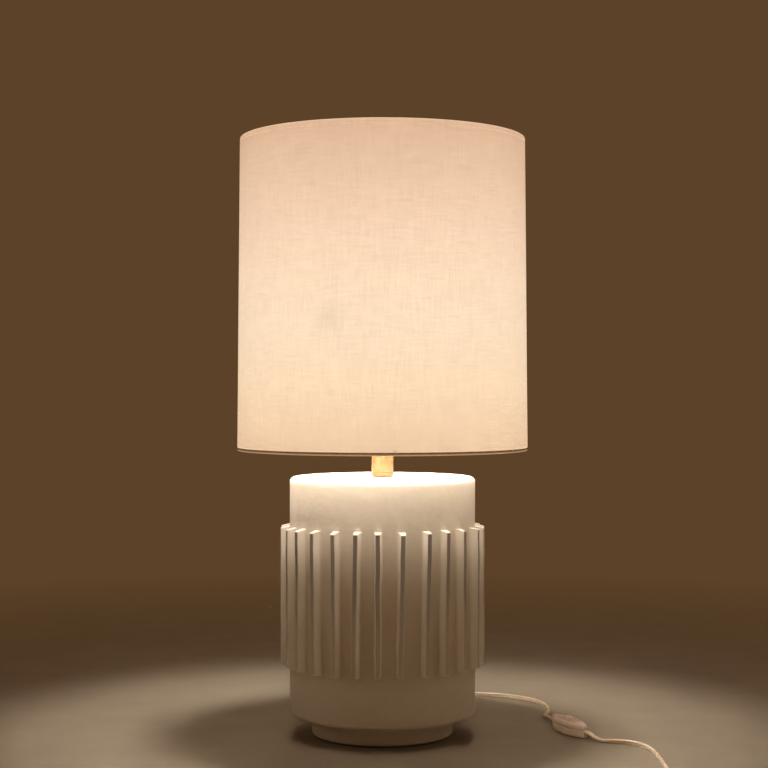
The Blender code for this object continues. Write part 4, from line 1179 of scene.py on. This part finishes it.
def make_ceramic():
    """Foot, body and hand-set fins as one skin, a little uneven all over."""
    half = fin_section()
    section = half + [(-across, height, face) for across, height, face in reversed(half)]
    fins, rows, vertices = hand_set_fins(), body_rows(), []
    for radius, z in rows:
        valley_shade = 0.0
        # Painted shade between the fins: full over their lower length, fading out towards their tops.
        if on_wall(radius):
            valley_shade = smoothstep(FIN_BOTTOM_ROOT - 14 * MM, FIN_BOTTOM_TIP + 8 * MM, z)
            valley_shade *= 1.0 - smoothstep(FIN_TOP_TIP - 60 * MM, FIN_TOP_ROOT, z)
        row = [fin_points(fin, section, radius, z, valley_shade) for fin in fins]
        for (points, _, start), (_, end, _) in zip(row, row[1:] + row[:1]):
            vertices += points
            if end < start:
                end += FULL_TURN
            for step in range(1, VALLEY_COLUMNS + 1):
                angle = mix(start, end, step / (VALLEY_COLUMNS + 1))
                vertices.append((radius, angle, z, 0.0, valley_shade, 0.0))
    columns = FIN_COUNT * (len(section) + VALLEY_COLUMNS)
    places = [uneven(*vertex[:3]) for vertex in vertices]
    body = new_piece("ceramic_fine", places, loop_faces(len(rows), columns, True), LOOKS["ceramic"])
    # Masks for the look: the outer faces, painted shade between the fins and painted light on the fins.
    for index, key in ((3, "outer_face"), (4, "valley_shade"), (5, "fin")):
        values = [vertex[index] for vertex in vertices]
        body.data.attributes.new(key, "FLOAT", "POINT").data.foreach_set("value", values)
    return outwards(body)


# ---- Shade ----
SHADE_BOTTOM = 0.2972
SHADE_TOP = 0.6254
SHADE_BOTTOM_RADIUS = 0.1526
SHADE_TOP_RADIUS = 0.1499
FABRIC_THICKNESS = 0.0006
LINER_SKIN = 0.0008
HEM_HEIGHT = 0.0052
RING_WIRE = 0.0016
RING_INSET = 0.0038
RING_RISE = 0.0035
GAP = 0.0003
SHADE_COLUMNS = 240
SEAM_DEG = -104.0               # a lap in the linen, a little left of the front
SEAM_WIDTH = 0.0090
# Cloth rolled over the wires, in millimetres: off the shade's face, and in from its edge.
BOTTOM_HEM = (
    *((0.0, 5.2), (0.0, 4.8), (-0.3, 4.5), (-0.9, 4.1), (-1.1, 3.4), (-0.9, 2.8), (-0.35, 2.4)),
    *((-0.10, 2.0), (-0.15, 1.5), (-0.6, 1.2), (-1.5, 1.1), (-3.3, 1.1), (-5.2, 1.0)),
    *((-6.2, 1.1), (-6.6, 1.9), (-6.6, 3.3), (-6.6, 5.2), (-6.0, 5.2), (-6.0, 1.9)),
    *((-1.6, 1.9), (-1.7, 3.2), (-1.5, 4.2), (-0.6, 5.2)),
)
TOP_HEM = (
    *((0.0, 5.2), (0.0, 3.4), (0.0, 2.2), (0.03, 1.4), (-0.02, 0.7), (-0.25, 0.25), (-0.75, 0.02)),
    *((-1.7, 0.0), (-3.3, 0.05), (-5.2, 0.0), (-6.2, 0.35), (-6.6, 1.3), (-6.6, 3.0)),
    *((-6.6, 5.2), (-6.0, 5.2), (-6.0, 1.7), (-0.95, 1.7), (-0.95, 3.6), (-0.6, 5.2)),
)


def shade_radius(height):
    """Radius of the linen's face at a height; the drum widens a little to the bottom."""
    share = (height - SHADE_BOTTOM) / (SHADE_TOP - SHADE_BOTTOM)
    return mix(SHADE_BOTTOM_RADIUS, SHADE_TOP_RADIUS, share)


def shade_ripple(angle, height):
    """How far the stretched linen stands off a true drum."""
    x, y = around(1.0, angle)
    ripple = bumpy(0.30 * MM, x * 3.0, y * 3.0, height * 9.0)
    return ripple + bumpy(0.08 * MM, x * 14.0, y * 14.0, height * 40.0) - 0.20 * MM


def lap(angle):
    """1 on the overlap of the linen, 0 away from it."""
    turn = (angle - math.radians(SEAM_DEG) + math.pi) % FULL_TURN - math.pi
    away = abs(turn) * SHADE_BOTTOM_RADIUS
    return 1.0 - smoothstep(SEAM_WIDTH / 2 - 0.0006, SEAM_WIDTH / 2 + 0.0002, away)


def drum_outline(bottom, top, count, inset, thickness):
    """A thin drum's cross-section, up its outside and down its inside."""
    heights = [mix(bottom, top, index / (count - 1)) for index in range(count)]
    outline = [(shade_radius(height) - inset, height) for height in heights]
    return outline + [(radius - thickness, height) for radius, height in reversed(outline)]


def make_linen():
    """The stretched cover, with its overlapped seam."""
    bottom, top = SHADE_BOTTOM + HEM_HEIGHT + GAP, SHADE_TOP - HEM_HEIGHT - GAP

    def shape(angle, radius, height):
        outer = radius > shade_radius(height) - FABRIC_THICKNESS / 2
        r = radius + 0.35 * shade_ripple(angle, height) * smoothstep(bottom, bottom + 0.02, height)
        return (r + 0.25 * MM * lap(angle) if outer else r), height

    outline = drum_outline(bottom, top, 46, 0.0, FABRIC_THICKNESS)
    return turned("shade_linen", outline, LOOKS["linen"], 480, shape)


def make_liner():
    """White styrene behind the linen, which carries the light around the inside."""
    end = 0.0016 + GAP

    def shape(angle, radius, height):
        return radius - 0.15 * MM + 0.25 * shade_ripple(angle, height), height

    outline = drum_outline(SHADE_BOTTOM + end, SHADE_TOP - end, 12, FABRIC_THICKNESS + GAP, LINER_SKIN)
    return turned("liner_fine", outline, LOOKS["styrene"], SHADE_COLUMNS, shape)


def make_hem(name, steps, edge, inwards, look, seed):
    """A rolled hem that puckers a little, with a few loose threads."""
    face = shade_radius(edge)

    def shape(angle, radius, height):
        x, y = around(1.0, angle)
        pucker = bumpy(0.10 * MM, x * 22.0, y * 22.0, seed)
        pucker += bumpy(0.06 * MM, x * 70.0, y * 70.0, seed + 5.0)
        if abs(height - edge) < 0.6 * MM:
            height += inwards * (0.05 * MM + bumpy(0.05 * MM, x * 30.0, y * 30.0, seed + 9.0))
        return radius - 0.12 * MM + pucker, height

    outline = [(face + across * MM, edge + inwards * up * MM) for across, up in steps]
    parts = [turned(name, outline, look, 300, shape)]
    rng = random.Random(seed)
    for _ in range(9):
        angle = rng.uniform(0.0, FULL_TURN)
        parts.append(loose_thread(angle, edge, inwards, rng, look))
    parts.append(loose_thread(math.radians(-85.0), edge, inwards, rng, look))
    return joined(name, parts)


def loose_thread(angle, edge, inwards, rng, look):
    """A frayed end of yarn that lies along the roll."""
    reach = rng.uniform(0.012, 0.035)
    points = []
    for share in (0.0, 0.25, 0.5, 0.75, 1.0):
        radius = shade_radius(edge) + (0.05 - 0.35 * abs(math.sin(3.0 * share))) * MM
        height = edge + inwards * (1.3 + rng.uniform(-0.25, 0.25) + 1.2 * share) * MM
        points.append((*around(radius, angle + reach * share), height))
    return sweep("thread", smooth_route(points, 0.8 * MM), round_section(0.14 * MM, 6), look)


def make_ring(name, edge, inwards):
    """The round wire inside a hem."""
    height = edge + inwards * RING_RISE
    outline = arc((shade_radius(height) - RING_INSET, height), RING_WIRE, 0, 330, 11)
    return turned(name, outline, LOOKS["steel"], SHADE_COLUMNS)


SPIDER_LEVEL = 0.6042
SPIDER_WIRE = 0.0014
SPIDER_ARMS_DEG = (90.0, 210.0, 330.0)
HUB_RADIUS = 0.0125
HUB_HOLE = 0.0052
HUB_HALF = 1.1 * MM


def make_spider():
    """Pressed hub with three bent wire arms that rise to the top ring."""
    ring = SHADE_TOP - RING_RISE
    knots = (
        (HUB_RADIUS - 0.0020, 0, SPIDER_LEVEL),
        (0.0500, 0, SPIDER_LEVEL),
        (0.1000, 0, SPIDER_LEVEL),
        (0.1180, 0, SPIDER_LEVEL + 0.0015),
        (0.1290, 0, SPIDER_LEVEL + 0.0085),
        (0.1360, 0, ring - 0.0018),
        (shade_radius(ring) - RING_INSET - RING_WIRE - GAP, 0, ring),
    )
    low, high = SPIDER_LEVEL - HUB_HALF, SPIDER_LEVEL + HUB_HALF
    outline = [(HUB_HOLE, low), (HUB_RADIUS, low), (HUB_RADIUS, high), (HUB_HOLE, high)]
    parts = [turned("hub", softened(outline, 0.4 * MM), LOOKS["steel"], 48)]
    for bearing_deg in SPIDER_ARMS_DEG:
        arm = sweep("arm", smooth_route(knots, 3.0 * MM), round_section(SPIDER_WIRE), LOOKS["steel"])
        arm.data.transform(Matrix.Rotation(math.radians(bearing_deg), 4, "Z"))
        parts.append(arm)
    return joined("spider_fine", parts)


HARP_FOOT = 0.3341
HARP_TOP = 0.5950
HARP_WIRE = 0.0018
HARP_REACH = 0.0270


def make_harp():
    """The bent brass wire around the bulb."""
    right = (
        (HARP_REACH, 0, HARP_FOOT),
        (HARP_REACH, 0, HARP_FOOT + 0.0130),
        (HARP_REACH, 0, HARP_FOOT + 0.0240),
        (0.0330, 0, HARP_FOOT + 0.0420),
        (0.0460, 0, HARP_FOOT + 0.0700),
        (0.0550, 0, HARP_FOOT + 0.1050),
        (0.0565, 0, HARP_FOOT + 0.1400),
        (0.0520, 0, HARP_TOP - 0.0800),
        (0.0420, 0, HARP_TOP - 0.0450),
        (0.0270, 0, HARP_TOP - 0.0180),
        (0.0120, 0, HARP_TOP - 0.0040),
        (0.0, 0, HARP_TOP),
    )
    left = [(-x, y, z) for x, y, z in reversed(right[:-1])]
    route = smooth_route([*right, *left], 3.5 * MM)
    return sweep("harp_fine", route, round_section(HARP_WIRE), LOOKS["brass"])


# ---- Stage and light ----
FLOOR_RADIUS = 1.5
BULB_LIGHT = (0.0, 0.0, 0.4450)
BULB_POWER = 10.4
WARM = (1.0, 0.86, 0.70)
# Each soft light's place, the height that it faces on the lamp's axis, and its power.
STUDIO = {
    "left": ((-2.3, -0.7, 1.5), 0.2, 2.6),
    "right": ((2.3, -0.7, 1.5), 0.2, 2.6),
    "back": ((0.4, 2.3, 1.9), 0.3, 2.0),
}


def make_floor():
    """A plain pale floor that fades out at its rim."""
    look = Look("floor", (214, 204, 190), 0.6)
    tone = look.spread(look.noise(3.0, 4.0), 0.3, 0.7)
    look.put(
        {
            "Base Color": look.blend(tone, (146, 135, 118), (140, 129, 112)),
            "Roughness": look.spread(look.noise(14.0, 3.0), 0.3, 0.7, 0.5, 0.66),
        }
    )
    away = look.vector_maths("LENGTH").outputs["Value"]
    fade = look.spread(away, 0.30 * FLOOR_RADIUS, FLOOR_RADIUS)
    clear = look.add("ShaderNodeBsdfTransparent").outputs[0]
    both = look.add("ShaderNodeMixShader", {0: fade, 1: look.shader.outputs[0], 2: clear}).outputs[0]
    output = next(node for node in look.tree.nodes if node.type == "OUTPUT_MATERIAL")
    look.feed(output.inputs["Surface"], both)
    rim = [(*point, 0.0) for point in round_section(FLOOR_RADIUS, 96)]
    floor = new_piece("floor", rim, [tuple(range(96))], look.material)


def new_light(name, kind, place, energy, tint):
    """A light at a place, and its settings."""
    data = bpy.data.lights.new(name, kind)
    data.energy = energy
    data.color = tint
    light = linked(name, data)
    light.location = place
    return light, data


def make_lights():
    """Soft, warm and low studio light, and the lamp's own bulb."""
    world = bpy.data.worlds.new("world")
    world.use_nodes = True
    background = world.node_tree.nodes["Background"]
    background.inputs["Color"].default_value = colour(91, 66, 40)
    background.inputs["Strength"].default_value = 1.0
    bpy.context.scene.world = world
    for name, (place, target, energy) in STUDIO.items():
        light, data = new_light(name, "AREA", place, energy, WARM)
        data.shape = "SQUARE"
        data.size = 1.2
        direction = Vector((0, 0, target)) - Vector(place)
        light.rotation_euler = direction.to_track_quat("-Z", "Y").to_euler()
    light, data = new_light("bulb_light", "POINT", BULB_LIGHT, BULB_POWER, (1.0, 0.92, 0.86))
    data.shadow_soft_size = 0.028
    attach(light, "bulb")

    view = bpy.context.scene.view_settings
    view.view_transform = "Standard"
    view.look = "None"
    view.exposure = 0.0
    view.gamma = 1.0


CAMERA_PLACE = (0.0016, -1.741, 0.367)
CAMERA_LENS = 77.34
CAMERA_SHIFT_Y = 0.0013


def make_camera():
    """A level camera in front of the lamp, a little above its neck."""
    data = bpy.data.cameras.new("camera")
    data.lens = CAMERA_LENS
    data.sensor_width = 36.0
    data.shift_y = CAMERA_SHIFT_Y
    data.clip_end = 30.0
    camera = linked("camera", data)
    camera.location = CAMERA_PLACE
    camera.rotation_euler = (math.radians(90.0), 0.0, 0.0)
    bpy.context.scene.camera = camera


# ---- The lamp ----
make_camera()
dress_frame()

cord, cord_route = make_cord()
relief = stand_for(make_relief(), "base", "clear_pvc", "cord_grommet")
case_lower, case_upper, rocker = make_switch()
stand_for(case_lower, "base", "clear_pvc", "switch_lower_shell")
stand_for(case_upper, "base", "clear_pvc", "switch_upper_shell")
stand_for(rocker, "rocker", "clear_pvc", "switch_rocker")
tie = stand_for(make_tie(), "base", "tie", "cord_tie")
plug = stand_for(make_plug(cord_route[-1].y), "base", "clear_pvc", "plug_body")
stand_for(cord, "base", "clear_pvc", "cord_to_switch", "cord_to_coil", "cord_coil", "cord_tail")

stand_for(make_ceramic(), "base", "ceramic", "ceramic_body")

# Turned pieces, by body and finish.
TURNED = {
    ("base", "brass"): (
        *("neck_ring", "neck_tube", "check_ring", "socket_cap"),
        *("socket_shell", "harp_crown", "lamp_pipe"),
    ),
    ("base", "card"): ("socket_liner",),
    ("base", "phenolic"): ("socket_block",),
    ("base", "aluminium"): ("screw_shell",),
    ("bulb", "aluminium"): ("bulb_base",),
    ("bulb", "frosted_glass"): ("bulb_glass",),
    ("bulb_carrier", "steel"): ("bulb_tip",),
    ("shade_washer", "brass"): ("hub_washer",),
    ("finial_carrier", "steel"): ("finial_insert",),
    ("finial", "brass"): ("finial_knob",),
}
for (body_name, slot_name), node_names in TURNED.items():
    for node_name in node_names:
        piece = stand_for(fine_turned(node_name, LOOKS[slot_name]), body_name, slot_name, node_name)
        # The bulb's own light stands inside its glass, which would otherwise hide it.
        piece.visible_shadow = node_name != "bulb_glass"
for side, word in ((-1, "left"), (1, "right")):
    node_name = f"harp_sleeve_{word}"
    sleeve = fine_turned(node_name, LOOKS["brass"], (side * HARP_REACH, 0.0), 40)
    stand_for(sleeve, f"{word}_sleeve", "brass", node_name)
stand_for(make_harp(), "base", "brass", "harp")

stand_for(make_liner(), "shade", "styrene", "shade_liner")
top_hem = make_hem("hem_top", TOP_HEM, SHADE_TOP, -1, TOP_HEM_LOOK, 3)
stand_for(top_hem, "shade", "linen", "top_hem")
bottom_hem = make_hem("hem_bottom", BOTTOM_HEM, SHADE_BOTTOM, 1, BOTTOM_HEM_LOOK, 4)
stand_for(bottom_hem, "shade", "linen", "bottom_hem")
linen = stand_for(make_linen(), "shade", "linen", "shade_fabric")
stand_for(make_ring("ring_top", SHADE_TOP, -1), "shade", "steel", "top_ring")
stand_for(make_ring("ring_bottom", SHADE_BOTTOM, 1), "shade", "steel", "bottom_ring")
stand_for(make_spider(), "shade", "steel", "spider")

make_floor()
make_lights()
